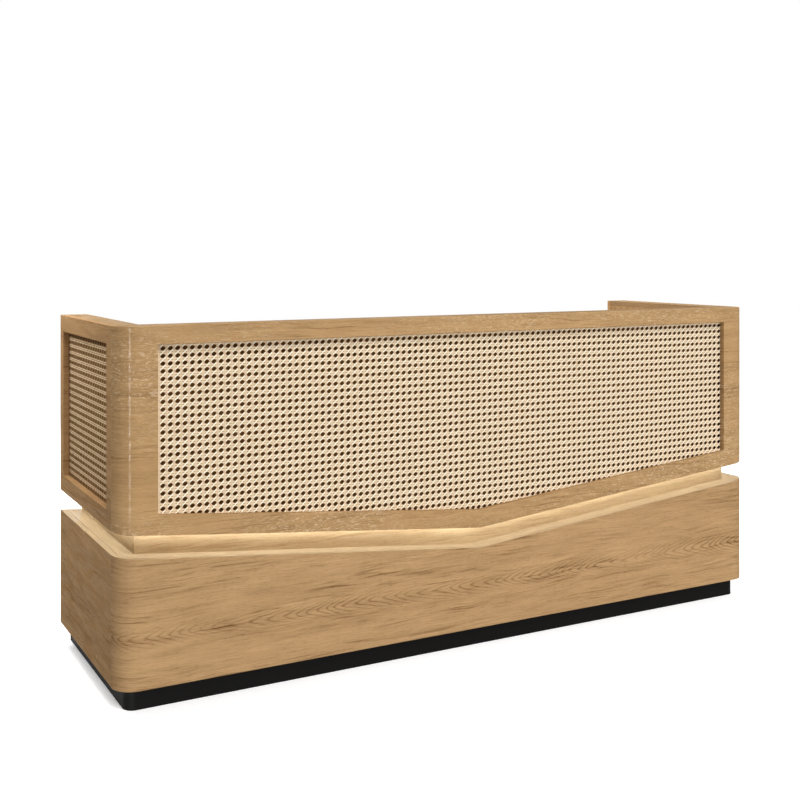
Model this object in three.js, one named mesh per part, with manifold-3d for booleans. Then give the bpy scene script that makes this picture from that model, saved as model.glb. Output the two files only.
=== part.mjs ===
// Reception desk: oak walls on a dark plinth, a lit channel that dips to the middle of the front,
// cane panels above the channel, and a worktop with drawers and a cupboard on the staff side.
// Millimetres, +Z up. The front faces -Y and the staff side +Y. The origin lies on the floor under
// the middle of the desk.

import * as THREE from 'three';
import { mergeVertices } from 'three/addons/utils/BufferGeometryUtils.js';
import Module from 'manifold-3d';

// Overall size.
const WIDTH = 2200;
const DEPTH = 660;
const HEIGHT = 1000;
const CORNER_RADIUS = 60;

// Boards, and the build-up of the walls: a core panel with casings in front of it.
const BOARD = 18;
const CORE_THICKNESS = 20;
const CASING_DEPTH = 60;
const FIT = 0.3;

// Plinth.
const PLINTH_HEIGHT = 60;
const PLINTH_INSET = 30;
const PLINTH_BOARD = 18;
const TOE_RECESS = 60;

// Light channel between the lower and the upper casing.
const LEDGE_MID_HEIGHT = 300;
const CHANNEL_RISE = 105;
const CHANNEL_GAP = 60;
const LIGHT_WIDTH = 12;
const LIGHT_HEIGHT = 6;
const LIGHT_SETBACK = 10;

// Cane panels, held behind the frames of the upper casing.
const STILE = 108;
const REAR_STILE = 38;
const TOP_RAIL = 50;
const FRONT_BOTTOM_RAIL = 54;
const SIDE_BOTTOM_RAIL = 50;
const CANE_THICKNESS = 3;
const CANE_MARGIN = 20;
const CANE_PITCH = 80;
const CANE_STRAND = 22;
const CANE_GAP_CHAMFER = 17;

// Worktop and its cable grommet.
const WORKTOP_HEIGHT = 750;
const WORKTOP_THICKNESS = 25;
const GROMMET_X = 340;
const GROMMET_WALL_DISTANCE = 90;
const GROMMET_RADIUS = 30;
const GROMMET_WALL = 3;
const GROMMET_DEPTH = 20;
const GROMMET_FLANGE = 6;
const GROMMET_FLANGE_HEIGHT = 2;
const GROMMET_SEAT = 3;
const GROMMET_CAP_HEIGHT = 4;
const CABLE_SLOT_WIDTH = 16;
const CABLE_SLOT_REACH = 18;

// Cabinets under the worktop.
const BAY_WIDTH = 420;
const FACE_SETBACK = 30;
const FACE_BUFFER = 2;
const FACE_GAP = 3;
const SHELF_HEIGHT = 380;
const SHELF_SETBACK = 20;

// Drawers and their runners.
const UPPER_FACE_HEIGHT = 260;
const DRAWER_DEPTH = 460;
const DRAWER_WALL = 12;
const DRAWER_BOTTOM = 8;
const DRAWER_UNDER_ROOM = 10;
const DRAWER_TOP_ROOM = 45;
const RUNNER_WIDTH = 12.5;
const RUNNER_HEIGHT = 45;
const RUNNER_LENGTH = 440;
const RUNNER_METAL = 1.5;
const RUNNER_FLANGE = 9;
const RUNNER_GAP = 0.5;
const RUNNER_LIFT = 50;

// Knobs.
const KNOB_LENGTH = 24;
const KNOB_HEAD_RADIUS = 14;
const KNOB_NECK_RADIUS = 7;
const KNOB_WAIST_RADIUS = 5.6;
const KNOB_CROWN_RADIUS = 11.2;
const KNOB_HEAD_LENGTH = 10;
const KNOB_RIM = 3.3;
const KNOB_EDGE_DISTANCE = 48;

// Door hinges.
const HINGE_HEIGHT = 60;
const HINGE_RADIUS = 4;
const HINGE_PIN_RADIUS = 2;
const HINGE_METAL = 1.5;
const HINGE_LEAF = 32;
const HINGE_DOOR_LEAF = 16;
const HINGE_END_DISTANCE = 100;

// Driver of the light strips.
const DRIVER_LENGTH = 150;
const DRIVER_EAR = 16;
const DRIVER_HEIGHT = 44;
const DRIVER_DEPTH = 28;
const DRIVER_PLATE = 2;
const DRIVER_CHAMFER = 5;
const DRIVER_HOLE_RADIUS = 2.5;
const DRIVER_DROP = 70;

// Smoothness of arcs and turned pieces.
const ARC_STEPS = 10;
const TURN_STEPS = 24;
const HINGE_STEPS = 16;
const CUT_REACH = 20;

// Places that follow from the sizes.
const halfWidth = WIDTH / 2;
const frontY = -DEPTH / 2;
const rearY = DEPTH / 2;
const cornerY = frontY + CORNER_RADIUS;
const skinX = halfWidth - BOARD;
const skinY = frontY + BOARD;
const coreX = halfWidth - CASING_DEPTH;
const coreY = frontY + CASING_DEPTH;
const innerX = coreX - CORE_THICKNESS;
const innerY = coreY + CORE_THICKNESS;
const endY = rearY - BOARD;
const baseTop = PLINTH_HEIGHT + BOARD;
const capBottom = HEIGHT - BOARD;
const faceY = rearY - FACE_SETBACK;
const faceBackY = faceY - BOARD;
const carcassY = faceBackY - FACE_BUFFER;
const bayX = innerX - BAY_WIDTH;
const kneeX = bayX - BOARD;
const worktopUnder = WORKTOP_HEIGHT - WORKTOP_THICKNESS;
const faceBottom = PLINTH_HEIGHT + FACE_GAP;
const faceTop = worktopUnder - FACE_GAP;
const openingTop = HEIGHT - TOP_RAIL;
const openingHalf = halfWidth - STILE;
const sideOpeningFront = frontY + STILE;
const sideOpeningRear = rearY - REAR_STILE;

// Looks of the materials.
const OAK = { color: 0xb29064, roughness: 0.55, metalness: 0 };
const PALE_OAK = { color: 0xc9aa7c, roughness: 0.6, metalness: 0 };
const CANE = { color: 0xe6d3b3, roughness: 0.7, metalness: 0 };
const BLACK = { color: 0x161413, roughness: 0.5, metalness: 0 };
const STEEL = { color: 0xb9bcc0, roughness: 0.35, metalness: 1 };
const LIGHT = { color: 0xfff0cf, roughness: 0.4, metalness: 0 };
const GREY = { color: 0xa7abad, roughness: 0.45, metalness: 0.8 };

const wasm = await Module();
wasm.setup();

// Height of the ledge at a place across the desk: lowest in the middle, rising to both ends.
function ledgeHeight(x) {
  return LEDGE_MID_HEIGHT + (CHANNEL_RISE * Math.abs(x)) / halfWidth;
}

// Height of the soffit above the ledge.
function soffitHeight(x) {
  return ledgeHeight(x) + CHANNEL_GAP;
}

// A closed geometry as a solid that can be joined and cut.
function solidOf(geometry) {
  geometry.deleteAttribute('normal');
  geometry.deleteAttribute('uv');
  const merged = mergeVertices(geometry);
  const vertProperties = new Float32Array(merged.attributes.position.array);
  const triVerts = new Uint32Array(merged.index.array);
  return new wasm.Manifold(new wasm.Mesh({ numProp: 3, vertProperties, triVerts }));
}

// A solid as a geometry with flat faces.
function geometryOf(solid) {
  const { vertProperties, triVerts } = solid.getMesh();
  const shared = new THREE.BufferGeometry();
  shared.setAttribute('position', new THREE.BufferAttribute(new Float32Array(vertProperties), 3));
  shared.setIndex(new THREE.BufferAttribute(new Uint32Array(triVerts), 1));
  const geometry = shared.toNonIndexed();
  geometry.computeVertexNormals();
  return geometry;
}

// A block between its lowest and its highest corner.
function block([x0, y0, z0], [x1, y1, z1]) {
  const geometry = new THREE.BoxGeometry(1, 1, 1);
  const position = geometry.attributes.position;
  for (let i = 0; i < position.count; i += 1) {
    const x = position.getX(i) < 0 ? x0 : x1;
    const y = position.getY(i) < 0 ? y0 : y1;
    const z = position.getZ(i) < 0 ? z0 : z1;
    position.setXYZ(i, x, y, z);
  }
  return solidOf(geometry);
}

// A prism whose outline lies across the named axis and runs along it between two places. The
// outline is drawn in X and Y for axis z, in X and Z for axis y, and in Y and Z for axis x.
function prism(outline, axis, low, high) {
  const settings = { depth: 1, bevelEnabled: false, curveSegments: ARC_STEPS };
  const geometry = new THREE.ExtrudeGeometry(outline, settings);
  const position = geometry.attributes.position;
  for (let i = 0; i < position.count; i += 1) {
    const u = position.getX(i);
    const v = position.getY(i);
    const atStart = position.getZ(i) < 0.5;
    if (axis === 'z') {
      position.setXYZ(i, u, v, atStart ? low : high);
    } else if (axis === 'y') {
      position.setXYZ(i, u, atStart ? high : low, v);
    } else {
      position.setXYZ(i, atStart ? low : high, u, v);
    }
  }
  return solidOf(geometry);
}

// A closed outline through straight corners.
function polygon(corners) {
  return new THREE.Shape(corners.map(([u, v]) => new THREE.Vector2(u, v)));
}

// A rectangle between its lowest and highest corner.
function rectangle(u0, v0, u1, v1) {
  return polygon([[u0, v0], [u1, v0], [u1, v1], [u0, v1]]);
}

// A turned piece on the vertical axis, from its half profile of radius and height.
function turned(profile, steps) {
  const points = profile.map(([radius, height]) => new THREE.Vector2(radius, height));
  const geometry = new THREE.LatheGeometry(points, steps);
  const position = geometry.attributes.position;
  for (let i = 0; i < position.count; i += 1) {
    position.setXYZ(i, position.getX(i), -position.getZ(i), position.getY(i));
  }
  return solidOf(geometry);
}

// An upright round bar or cutter on an axis.
function bar(x, y, radius, low, high, steps) {
  const profile = [[0, low], [radius, low], [radius, high], [0, high]];
  return turned(profile, steps).translate(x, y, 0);
}

// Draw the line round both front corners of the desk, set in from the outside, from the left side
// to the right or back again. A set-in past the corner's radius leaves the corner square.
function drawFront(path, inset, toRight) {
  const radius = CORNER_RADIUS - inset;
  const ends = toRight ? [-1, 1] : [1, -1];
  for (const side of ends) {
    const entering = side === ends[0];
    if (radius > FIT) {
      const onSide = side < 0 ? Math.PI : 2 * Math.PI;
      const onFront = 1.5 * Math.PI;
      const from = entering ? onSide : onFront;
      const to = entering ? onFront : onSide;
      path.absarc(side * (halfWidth - CORNER_RADIUS), cornerY, radius, from, to, !toRight);
    } else {
      path.lineTo(side * (halfWidth - inset), frontY + inset);
    }
  }
}

// A plan band along the front with both rounded corners, up to where the sides run straight.
function frontBand(outerInset, innerInset) {
  const shape = new THREE.Shape();
  shape.moveTo(-halfWidth + outerInset, cornerY);
  drawFront(shape, outerInset, true);
  shape.lineTo(halfWidth - outerInset, cornerY);
  shape.lineTo(halfWidth - innerInset, cornerY);
  drawFront(shape, innerInset, false);
  shape.lineTo(-halfWidth + innerInset, cornerY);
  return shape;
}

// The whole plan of the desk, set in from the outside, back to a given line.
function footprint(inset, backY) {
  const shape = new THREE.Shape();
  shape.moveTo(-halfWidth + inset, backY);
  shape.lineTo(-halfWidth + inset, cornerY);
  drawFront(shape, inset, true);
  shape.lineTo(halfWidth - inset, cornerY);
  shape.lineTo(halfWidth - inset, backY);
  return shape;
}

// Everything between two heights that may follow the slope of the channel.
function layer(lowAt, highAt) {
  const reach = halfWidth + CUT_REACH;
  const stations = [-reach, 0, reach];
  const lower = stations.map((x) => [x, lowAt(x)]);
  const upper = stations.map((x) => [x, highAt(x)]).reverse();
  return prism(polygon([...lower, ...upper]), 'y', frontY - CUT_REACH, rearY + CUT_REACH);
}

// A board that fills part of the hollow between skin and core, between two sloping heights.
function channelBoard(low, high, lowAt, highAt) {
  const hollow = prism(footprint(BOARD + FIT, endY), 'z', 0, HEIGHT);
  return hollow.intersect(block(low, high)).intersect(layer(lowAt, highAt));
}

// Add a named piece with its own material to a group.
function addPiece(group, name, solid, look, place = [0, 0, 0]) {
  const mesh = new THREE.Mesh(geometryOf(solid), new THREE.MeshStandardMaterial(look));
  mesh.name = name;
  mesh.position.set(...place);
  group.add(mesh);
}

// Mirror a solid from the left side of the desk to the right.
function mirrored(solid) {
  return solid.mirror([1, 0, 0]);
}

// Add the same piece on the left and, mirrored, on the right.
function addPair(group, nameOf, solid, look) {
  addPiece(group, nameOf('left'), solid, look);
  addPiece(group, nameOf('right'), mirrored(solid), look);
}

// Black plinth set back under the walls, with a toe board under each cabinet.
function makePlinth() {
  const group = new THREE.Group();
  const innerInset = PLINTH_INSET + PLINTH_BOARD;
  const front = prism(frontBand(PLINTH_INSET, innerInset), 'z', 0, PLINTH_HEIGHT);
  addPiece(group, 'plinth_front', front, BLACK);
  const sideLow = [-halfWidth + PLINTH_INSET, cornerY, 0];
  const sideHigh = [-halfWidth + innerInset, rearY, PLINTH_HEIGHT];
  addPair(group, (side) => `plinth_${side}`, block(sideLow, sideHigh), BLACK);
  const toeLow = [-halfWidth + innerInset, faceY - TOE_RECESS - PLINTH_BOARD, 0];
  const toeHigh = [-bayX, faceY - TOE_RECESS, PLINTH_HEIGHT];
  addPair(group, (side) => `toe_board_${side}`, block(toeLow, toeHigh), BLACK);
  return group;
}

// Base boards on the plinth: a strip under the front wall, and the cabinet floors at both ends.
function makeBase() {
  const group = new THREE.Group();
  const plan = prism(footprint(BOARD + FIT, endY), 'z', PLINTH_HEIGHT, baseTop);
  const underWing = block([-halfWidth, frontY, 0], [-innerX, endY, HEIGHT]);
  const underBay = block([-innerX, frontY, 0], [-bayX, carcassY, HEIGHT]);
  addPair(group, (side) => `base_${side}`, plan.intersect(underWing.add(underBay)), OAK);
  const strip = block([-bayX, skinY + FIT, PLINTH_HEIGHT], [bayX, innerY, baseTop]);
  addPiece(group, 'base_front', strip, OAK);
  return group;
}

// Core panels: they stand on the base boards, carry both casings and are the channel's back wall.
function makeCore() {
  const group = new THREE.Group();
  const front = block([-coreX, coreY, baseTop], [coreX, innerY, capBottom]);
  addPiece(group, 'core_front', front, OAK);
  const side = block([-coreX, innerY, baseTop], [-innerX, endY, capBottom]);
  addPair(group, (name) => `core_${name}`, side, OAK);
  return group;
}

// Plan of a side board with its return round the rear end of the wing.
function sideSkinPlan() {
  return polygon([
    [-halfWidth, cornerY],
    [-skinX, cornerY],
    [-skinX, endY],
    [-innerX, endY],
    [-innerX, rearY],
    [-halfWidth, rearY],
  ]);
}

// Lower casing: front and side boards below the channel, and the ledge boards on top of them.
function makeLowerCasing() {
  const group = new THREE.Group();
  const below = layer(() => 0, ledgeHeight);
  const front = prism(frontBand(0, BOARD), 'z', PLINTH_HEIGHT, HEIGHT).intersect(below);
  addPiece(group, 'lower_front_skin', front, OAK);
  const side = prism(sideSkinPlan(), 'z', PLINTH_HEIGHT, HEIGHT).intersect(below);
  addPair(group, (name) => `lower_${name}_skin`, side, OAK);
  const ledgeBottom = (x) => ledgeHeight(x) - BOARD;
  const sideLow = [-halfWidth, frontY, 0];
  const sideHigh = [-coreX, endY, HEIGHT];
  const sideLedge = channelBoard(sideLow, sideHigh, ledgeBottom, ledgeHeight);
  addPair(group, (name) => `ledge_${name}`, sideLedge, PALE_OAK);
  const frontLedge = channelBoard([-coreX, frontY, 0], [0, coreY, HEIGHT], ledgeBottom, ledgeHeight);
  addPair(group, (name) => `ledge_front_${name}`, frontLedge, PALE_OAK);
  return group;
}

// Lower edge of the front cane opening, parallel to the channel.
function frontOpeningBottom(x) {
  return soffitHeight(x) + FRONT_BOTTOM_RAIL;
}

// Outline of the front cane opening, grown all round by a margin.
function frontOpening(margin) {
  const reach = openingHalf + margin;
  const top = openingTop + margin;
  const bottomAt = (x) => frontOpeningBottom(x) - margin;
  const left = [[-reach, top], [-reach, bottomAt(reach)]];
  const right = [[reach, bottomAt(reach)], [reach, top]];
  return polygon([...left, [0, bottomAt(0)], ...right]);
}

// Lower edge of the side cane openings.
const sideOpeningBottom = soffitHeight(halfWidth) + SIDE_BOTTOM_RAIL;

// Outline of a side cane opening, grown all round by a margin.
function sideOpening(margin) {
  const front = sideOpeningFront - margin;
  const rear = sideOpeningRear + Math.min(margin, REAR_STILE - BOARD - FIT);
  return rectangle(front, sideOpeningBottom - margin, rear, openingTop + margin);
}

// One eight-sided gap of the cane lattice.
function caneGap(u, v) {
  const half = (CANE_PITCH - CANE_STRAND) / 2;
  const cut = half - CANE_GAP_CHAMFER;
  const corners = [[half, -cut], [half, cut], [cut, half], [-cut, half]];
  const opposite = corners.map(([du, dv]) => [-du, -dv]);
  return polygon([...corners, ...opposite].map(([du, dv]) => [u + du, v + dv]));
}

// Cut rows of gaps into a cane sheet, from the top of its opening down to the edge at its bottom.
function weave(sheet, middle, width, bottomAt) {
  const columns = Math.floor(width / CANE_PITCH);
  const rows = Math.ceil((openingTop - bottomAt(middle)) / CANE_PITCH);
  for (let column = 0; column < columns; column += 1) {
    const u = middle + (column - (columns - 1) / 2) * CANE_PITCH;
    const farEdge = u + (Math.sign(u - middle) * CANE_PITCH) / 2;
    for (let row = 0; row < rows; row += 1) {
      const v = openingTop - (row + 0.5) * CANE_PITCH;
      if (v - CANE_PITCH / 2 >= bottomAt(farEdge)) {
        sheet.holes.push(caneGap(u, v));
      }
    }
  }
  return sheet;
}

// Upper casing: frames round the cane, soffit boards that carry the light, cane sheets and caps.
function makeUpperCasing() {
  const group = new THREE.Group();
  const above = layer(soffitHeight, () => HEIGHT);
  const frontCut = prism(frontOpening(0), 'y', frontY - CUT_REACH, skinY + FIT);
  const frontBlank = prism(frontBand(0, BOARD), 'z', PLINTH_HEIGHT, HEIGHT);
  addPiece(group, 'upper_front_skin', frontBlank.intersect(above).subtract(frontCut), OAK);
  const sideCut = prism(sideOpening(0), 'x', -halfWidth - CUT_REACH, -skinX + FIT);
  const sideBlank = prism(sideSkinPlan(), 'z', PLINTH_HEIGHT, HEIGHT);
  const sideSkin = sideBlank.intersect(above).subtract(sideCut);
  addPair(group, (side) => `upper_${side}_skin`, sideSkin, OAK);

  const frontSheet = weave(frontOpening(CANE_MARGIN), 0, 2 * openingHalf, frontOpeningBottom);
  addPiece(group, 'cane_front', prism(frontSheet, 'y', skinY, skinY + CANE_THICKNESS), CANE);
  const sideMiddle = (sideOpeningFront + sideOpeningRear) / 2;
  const sideWidth = sideOpeningRear - sideOpeningFront;
  const sideSheet = weave(sideOpening(CANE_MARGIN), sideMiddle, sideWidth, () => sideOpeningBottom);
  const sideCane = prism(sideSheet, 'x', -skinX, -skinX + CANE_THICKNESS);
  addPair(group, (side) => `cane_${side}`, sideCane, CANE);

  const capPlan = prism(footprint(BOARD + FIT, endY), 'z', capBottom, HEIGHT);
  const frontCap = capPlan.intersect(block([-halfWidth, frontY, 0], [halfWidth, innerY, HEIGHT]));
  addPiece(group, 'cap_front', frontCap, OAK);
  const sideCap = block([-skinX + FIT, innerY, capBottom], [-innerX, endY, HEIGHT]);
  addPair(group, (side) => `cap_${side}`, sideCap, OAK);
  return group;
}

// Plan corners of the light strip along the front, and along the left side.
const lightOuter = LIGHT_SETBACK + LIGHT_WIDTH;
const frontLight = {
  low: [-coreX + FIT, coreY - lightOuter],
  high: [coreX - FIT, coreY - LIGHT_SETBACK],
};
const sideLight = {
  low: [-coreX - lightOuter, coreY - lightOuter],
  high: [-coreX - LIGHT_SETBACK, endY - LIGHT_SETBACK],
};

// A light strip along the soffit, or with room round it the groove that takes it.
function lightRun({ low, high }, room) {
  const plan = block([low[0] - room, low[1] - room, 0], [high[0] + room, high[1] + room, HEIGHT]);
  const under = (x) => soffitHeight(x) - (room > 0 ? CUT_REACH : 0);
  return plan.intersect(layer(under, (x) => soffitHeight(x) + LIGHT_HEIGHT + room));
}

// Soffit boards over the channel with the light strips let into their undersides.
function makeLighting() {
  const group = new THREE.Group();
  const soffitTop = (x) => soffitHeight(x) + BOARD;
  const frontLow = [-coreX, frontY, 0];
  const frontHigh = [coreX, coreY, HEIGHT];
  const frontBoard = channelBoard(frontLow, frontHigh, soffitHeight, soffitTop);
  addPiece(group, 'soffit_front', frontBoard.subtract(lightRun(frontLight, FIT)), PALE_OAK);
  const sideLow = [-halfWidth, frontY, 0];
  const sideHigh = [-coreX, endY, HEIGHT];
  const sideBoard = channelBoard(sideLow, sideHigh, soffitHeight, soffitTop);
  const sideSoffit = sideBoard.subtract(lightRun(sideLight, FIT));
  addPair(group, (side) => `soffit_${side}`, sideSoffit, PALE_OAK);
  addPiece(group, 'light_strip_front', lightRun(frontLight, 0), LIGHT);
  addPair(group, (side) => `light_strip_${side}`, lightRun(sideLight, 0), LIGHT);
  return group;
}

// Driver of the light strips: a chamfered case on an eared plate, fixed to the core panel.
function makeDriver() {
  const halfLength = DRIVER_LENGTH / 2;
  const halfPlate = halfLength + DRIVER_EAR;
  const halfHeight = DRIVER_HEIGHT / 2;
  const plate = rectangle(-halfPlate, -halfHeight, halfPlate, halfHeight);
  for (const side of [-1, 1]) {
    const hole = new THREE.Path();
    hole.absarc(side * (halfLength + DRIVER_EAR / 2), 0, DRIVER_HOLE_RADIUS, 0, 2 * Math.PI);
    plate.holes.push(hole);
  }
  const chamfered = polygon([
    [0, -halfHeight],
    [DRIVER_DEPTH - DRIVER_CHAMFER, -halfHeight],
    [DRIVER_DEPTH, -halfHeight + DRIVER_CHAMFER],
    [DRIVER_DEPTH, halfHeight - DRIVER_CHAMFER],
    [DRIVER_DEPTH - DRIVER_CHAMFER, halfHeight],
    [0, halfHeight],
  ]);
  const box = prism(chamfered, 'x', -halfLength, halfLength);
  return prism(plate, 'y', 0, DRIVER_PLATE).add(box);
}

// Worktop between the walls, and the cable grommet in it.
function makeWorktop() {
  const group = new THREE.Group();
  const grommetY = innerY + GROMMET_WALL_DISTANCE;
  const board = block([-innerX, innerY, worktopUnder], [innerX, faceY, WORKTOP_HEIGHT]);
  const hole = bar(GROMMET_X, grommetY, GROMMET_RADIUS, worktopUnder - CUT_REACH, HEIGHT, TURN_STEPS);
  addPiece(group, 'worktop', board.subtract(hole), PALE_OAK);

  const outer = GROMMET_RADIUS - FIT;
  const inner = outer - GROMMET_WALL;
  const seat = inner - GROMMET_SEAT;
  const flange = GROMMET_RADIUS + GROMMET_FLANGE;
  const seatTop = GROMMET_FLANGE_HEIGHT - GROMMET_CAP_HEIGHT - FIT;
  const ring = turned(
    [
      [seat, -GROMMET_DEPTH],
      [outer, -GROMMET_DEPTH],
      [outer, 0],
      [flange, 0],
      [flange, GROMMET_FLANGE_HEIGHT],
      [inner, GROMMET_FLANGE_HEIGHT],
      [inner, seatTop],
      [seat, seatTop],
      [seat, -GROMMET_DEPTH],
    ],
    TURN_STEPS,
  );
  const place = [GROMMET_X, grommetY, WORKTOP_HEIGHT];
  addPiece(group, 'grommet_ring', ring, BLACK, place);
  const capBase = seatTop + FIT;
  const capRadius = inner - FIT;
  const disc = bar(0, 0, capRadius, capBase, GROMMET_FLANGE_HEIGHT, TURN_STEPS);
  const slotEnd = capRadius - CABLE_SLOT_REACH;
  const slotHalf = CABLE_SLOT_WIDTH / 2;
  const slot = block([-slotHalf, slotEnd, -CUT_REACH], [slotHalf, flange, CUT_REACH]);
  addPiece(group, 'grommet_cap', disc.subtract(slot), BLACK, place);
  return group;
}

// A turned knob that points to the staff side.
function makeKnob() {
  const headStart = KNOB_LENGTH - KNOB_HEAD_LENGTH;
  const profile = [
    [0, 0],
    [KNOB_NECK_RADIUS, 0],
    [KNOB_WAIST_RADIUS, headStart / 2],
    [KNOB_NECK_RADIUS, headStart],
    [KNOB_HEAD_RADIUS, headStart + KNOB_RIM],
    [KNOB_HEAD_RADIUS, KNOB_LENGTH - KNOB_RIM],
    [KNOB_CROWN_RADIUS, KNOB_LENGTH],
    [0, KNOB_LENGTH],
  ];
  const points = profile.map(([radius, height]) => new THREE.Vector2(radius, height));
  return solidOf(new THREE.LatheGeometry(points, TURN_STEPS));
}

// Section of a runner rail, a channel of folded metal drawn across the run: web at one side, flanges
// towards the other.
function railSection(web, tips, halfHeight) {
  const inward = Math.sign(tips - web) * RUNNER_METAL;
  return polygon([
    [web, -halfHeight],
    [tips, -halfHeight],
    [tips, -halfHeight + RUNNER_METAL],
    [web + inward, -halfHeight + RUNNER_METAL],
    [web + inward, halfHeight - RUNNER_METAL],
    [tips, halfHeight - RUNNER_METAL],
    [tips, halfHeight],
    [web, halfHeight],
  ]);
}

// The fixed and the moving rail of a runner on one side of the drawer bay.
function makeRunner(wallX, drawerX, middleZ) {
  const towards = Math.sign(drawerX - wallX);
  const fixedHalf = RUNNER_HEIGHT / 2;
  const movingHalf = fixedHalf - RUNNER_METAL - RUNNER_GAP;
  const raise = (section) => polygon(section.getPoints().map((p) => [p.x, p.y + middleZ]));
  const fixed = railSection(wallX, wallX + towards * RUNNER_FLANGE, fixedHalf);
  const moving = railSection(drawerX, drawerX - towards * RUNNER_FLANGE, movingHalf);
  const start = carcassY - RUNNER_LENGTH;
  return {
    fixed: prism(raise(fixed), 'y', start, carcassY),
    moving: prism(raise(moving), 'y', start, carcassY),
  };
}

// One drawer: box, face, knob and the runners on both sides.
function makeDrawer(name, low, high) {
  const group = new THREE.Group();
  const boxLeft = -innerX + RUNNER_WIDTH;
  const boxRight = -bayX - RUNNER_WIDTH;
  const boxBottom = low - FACE_GAP + BOARD + DRAWER_UNDER_ROOM;
  const boxTop = high - DRAWER_TOP_ROOM;
  const boxStart = faceBackY - DRAWER_DEPTH;
  const outside = block([boxLeft, boxStart, boxBottom], [boxRight, faceBackY, boxTop]);
  const insideLow = [boxLeft + DRAWER_WALL, boxStart + DRAWER_WALL, boxBottom + DRAWER_BOTTOM];
  const insideHigh = [boxRight - DRAWER_WALL, faceBackY - DRAWER_WALL, boxTop + CUT_REACH];
  addPiece(group, `${name}_box`, outside.subtract(block(insideLow, insideHigh)), PALE_OAK);
  const face = block([-innerX + FACE_GAP, faceBackY, low], [-kneeX, faceY, high]);
  addPiece(group, `${name}_face`, face, OAK);
  const middleX = (-innerX + FACE_GAP - kneeX) / 2;
  addPiece(group, `${name}_knob`, makeKnob(), BLACK, [middleX, faceY, (low + high) / 2]);
  const middleZ = boxBottom + RUNNER_LIFT;
  const runners = {
    left: makeRunner(-innerX, boxLeft, middleZ),
    right: makeRunner(-bayX, boxRight, middleZ),
  };
  for (const [side, runner] of Object.entries(runners)) {
    addPiece(group, `${name}_fixed_rail_${side}`, runner.fixed, STEEL);
    addPiece(group, `${name}_moving_rail_${side}`, runner.moving, STEEL);
  }
  return group;
}

// Partitions that carry the worktop, and the two drawers in the left bay.
function makePedestal() {
  const group = new THREE.Group();
  const partition = block([-bayX, innerY, 0], [-kneeX, carcassY, worktopUnder]);
  addPair(group, (side) => `partition_${side}`, partition, OAK);
  const split = faceTop - UPPER_FACE_HEIGHT;
  group.add(makeDrawer('upper_drawer', split, faceTop));
  group.add(makeDrawer('lower_drawer', faceBottom, split - FACE_GAP));
  return group;
}

// Place of the hinge axis, beside the joint between partition and door.
const hingeX = kneeX - HINGE_RADIUS;
const hingeY = carcassY + FACE_BUFFER / 2;

// The two leaves of a hinge round its upright axis. The pin stands in the outer knuckles of the
// partition's leaf, and the door's leaf turns on it with the middle knuckle.
function makeHinge() {
  const third = HINGE_HEIGHT / 3;
  const plateX = HINGE_RADIUS - HINGE_METAL;
  const upright = (radius, low, high) => bar(0, 0, radius, low, high, HINGE_STEPS);
  const roomRadius = HINGE_RADIUS + FIT;
  const fixedPlate = block([plateX, -HINGE_LEAF, 0], [HINGE_RADIUS, -FIT, HINGE_HEIGHT]);
  const doorPlate = block([plateX, FIT, 0], [HINGE_RADIUS, FIT + HINGE_DOOR_LEAF, HINGE_HEIGHT]);
  const fixed = fixedPlate
    .add(upright(HINGE_RADIUS, 0, third))
    .add(upright(HINGE_RADIUS, 2 * third, HINGE_HEIGHT))
    .subtract(upright(roomRadius, third, 2 * third))
    .add(upright(HINGE_PIN_RADIUS, 0, HINGE_HEIGHT));
  const door = doorPlate
    .subtract(upright(roomRadius, -FIT, third + FIT))
    .subtract(upright(roomRadius, 2 * third - FIT, HINGE_HEIGHT + FIT))
    .add(upright(HINGE_RADIUS, third + FIT, 2 * third - FIT))
    .subtract(upright(HINGE_PIN_RADIUS + FIT, 0, HINGE_HEIGHT));
  return { fixed, door };
}

// Cupboard in the right bay: shelf, driver of the lights, and a door on two hinges.
function makeCupboard() {
  const group = new THREE.Group();
  const shelfLow = [bayX, innerY, SHELF_HEIGHT - BOARD];
  const shelfHigh = [innerX, carcassY - SHELF_SETBACK, SHELF_HEIGHT];
  addPiece(group, 'cupboard_shelf', block(shelfLow, shelfHigh), PALE_OAK);
  const driverPlace = [(bayX + innerX) / 2, innerY, worktopUnder - DRIVER_DROP];
  addPiece(group, 'light_driver', makeDriver(), GREY, driverPlace);
  const doorEdge = innerX - FACE_GAP;
  const door = block([kneeX, faceBackY, faceBottom], [doorEdge, faceY, faceTop]);
  addPiece(group, 'cupboard_door', door, OAK);
  const knobPlace = [doorEdge - KNOB_EDGE_DISTANCE, faceY, (faceBottom + faceTop) / 2];
  addPiece(group, 'cupboard_knob', makeKnob(), BLACK, knobPlace);
  const hingeHeights = {
    lower: faceBottom + HINGE_END_DISTANCE,
    upper: faceTop - HINGE_END_DISTANCE - HINGE_HEIGHT,
  };
  for (const [level, z] of Object.entries(hingeHeights)) {
    const hinge = makeHinge();
    addPiece(group, `${level}_hinge_frame_leaf`, hinge.fixed, STEEL, [hingeX, hingeY, z]);
    addPiece(group, `${level}_hinge_door_leaf`, hinge.door, STEEL, [hingeX, hingeY, z]);
  }
  return group;
}

const desk = new THREE.Group();
desk.add(makePlinth());
desk.add(makeBase());
desk.add(makeCore());
desk.add(makeLowerCasing());
desk.add(makeUpperCasing());
desk.add(makeLighting());
desk.add(makeWorktop());
desk.add(makePedestal());
desk.add(makeCupboard());

export default desk;
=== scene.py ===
"""Looks of a reception desk: oak casings, cane panels, a lit channel and the cabinets of the staff side.

All sizes are metres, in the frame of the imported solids: X runs across the desk, -Y faces the customer,
+Z is up, and the origin lies on the floor under the middle of the desk.
"""

import logging
import math
from contextlib import contextmanager
from dataclasses import dataclass
from enum import Enum
from itertools import pairwise
from typing import Callable, Iterator, Sequence

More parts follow.
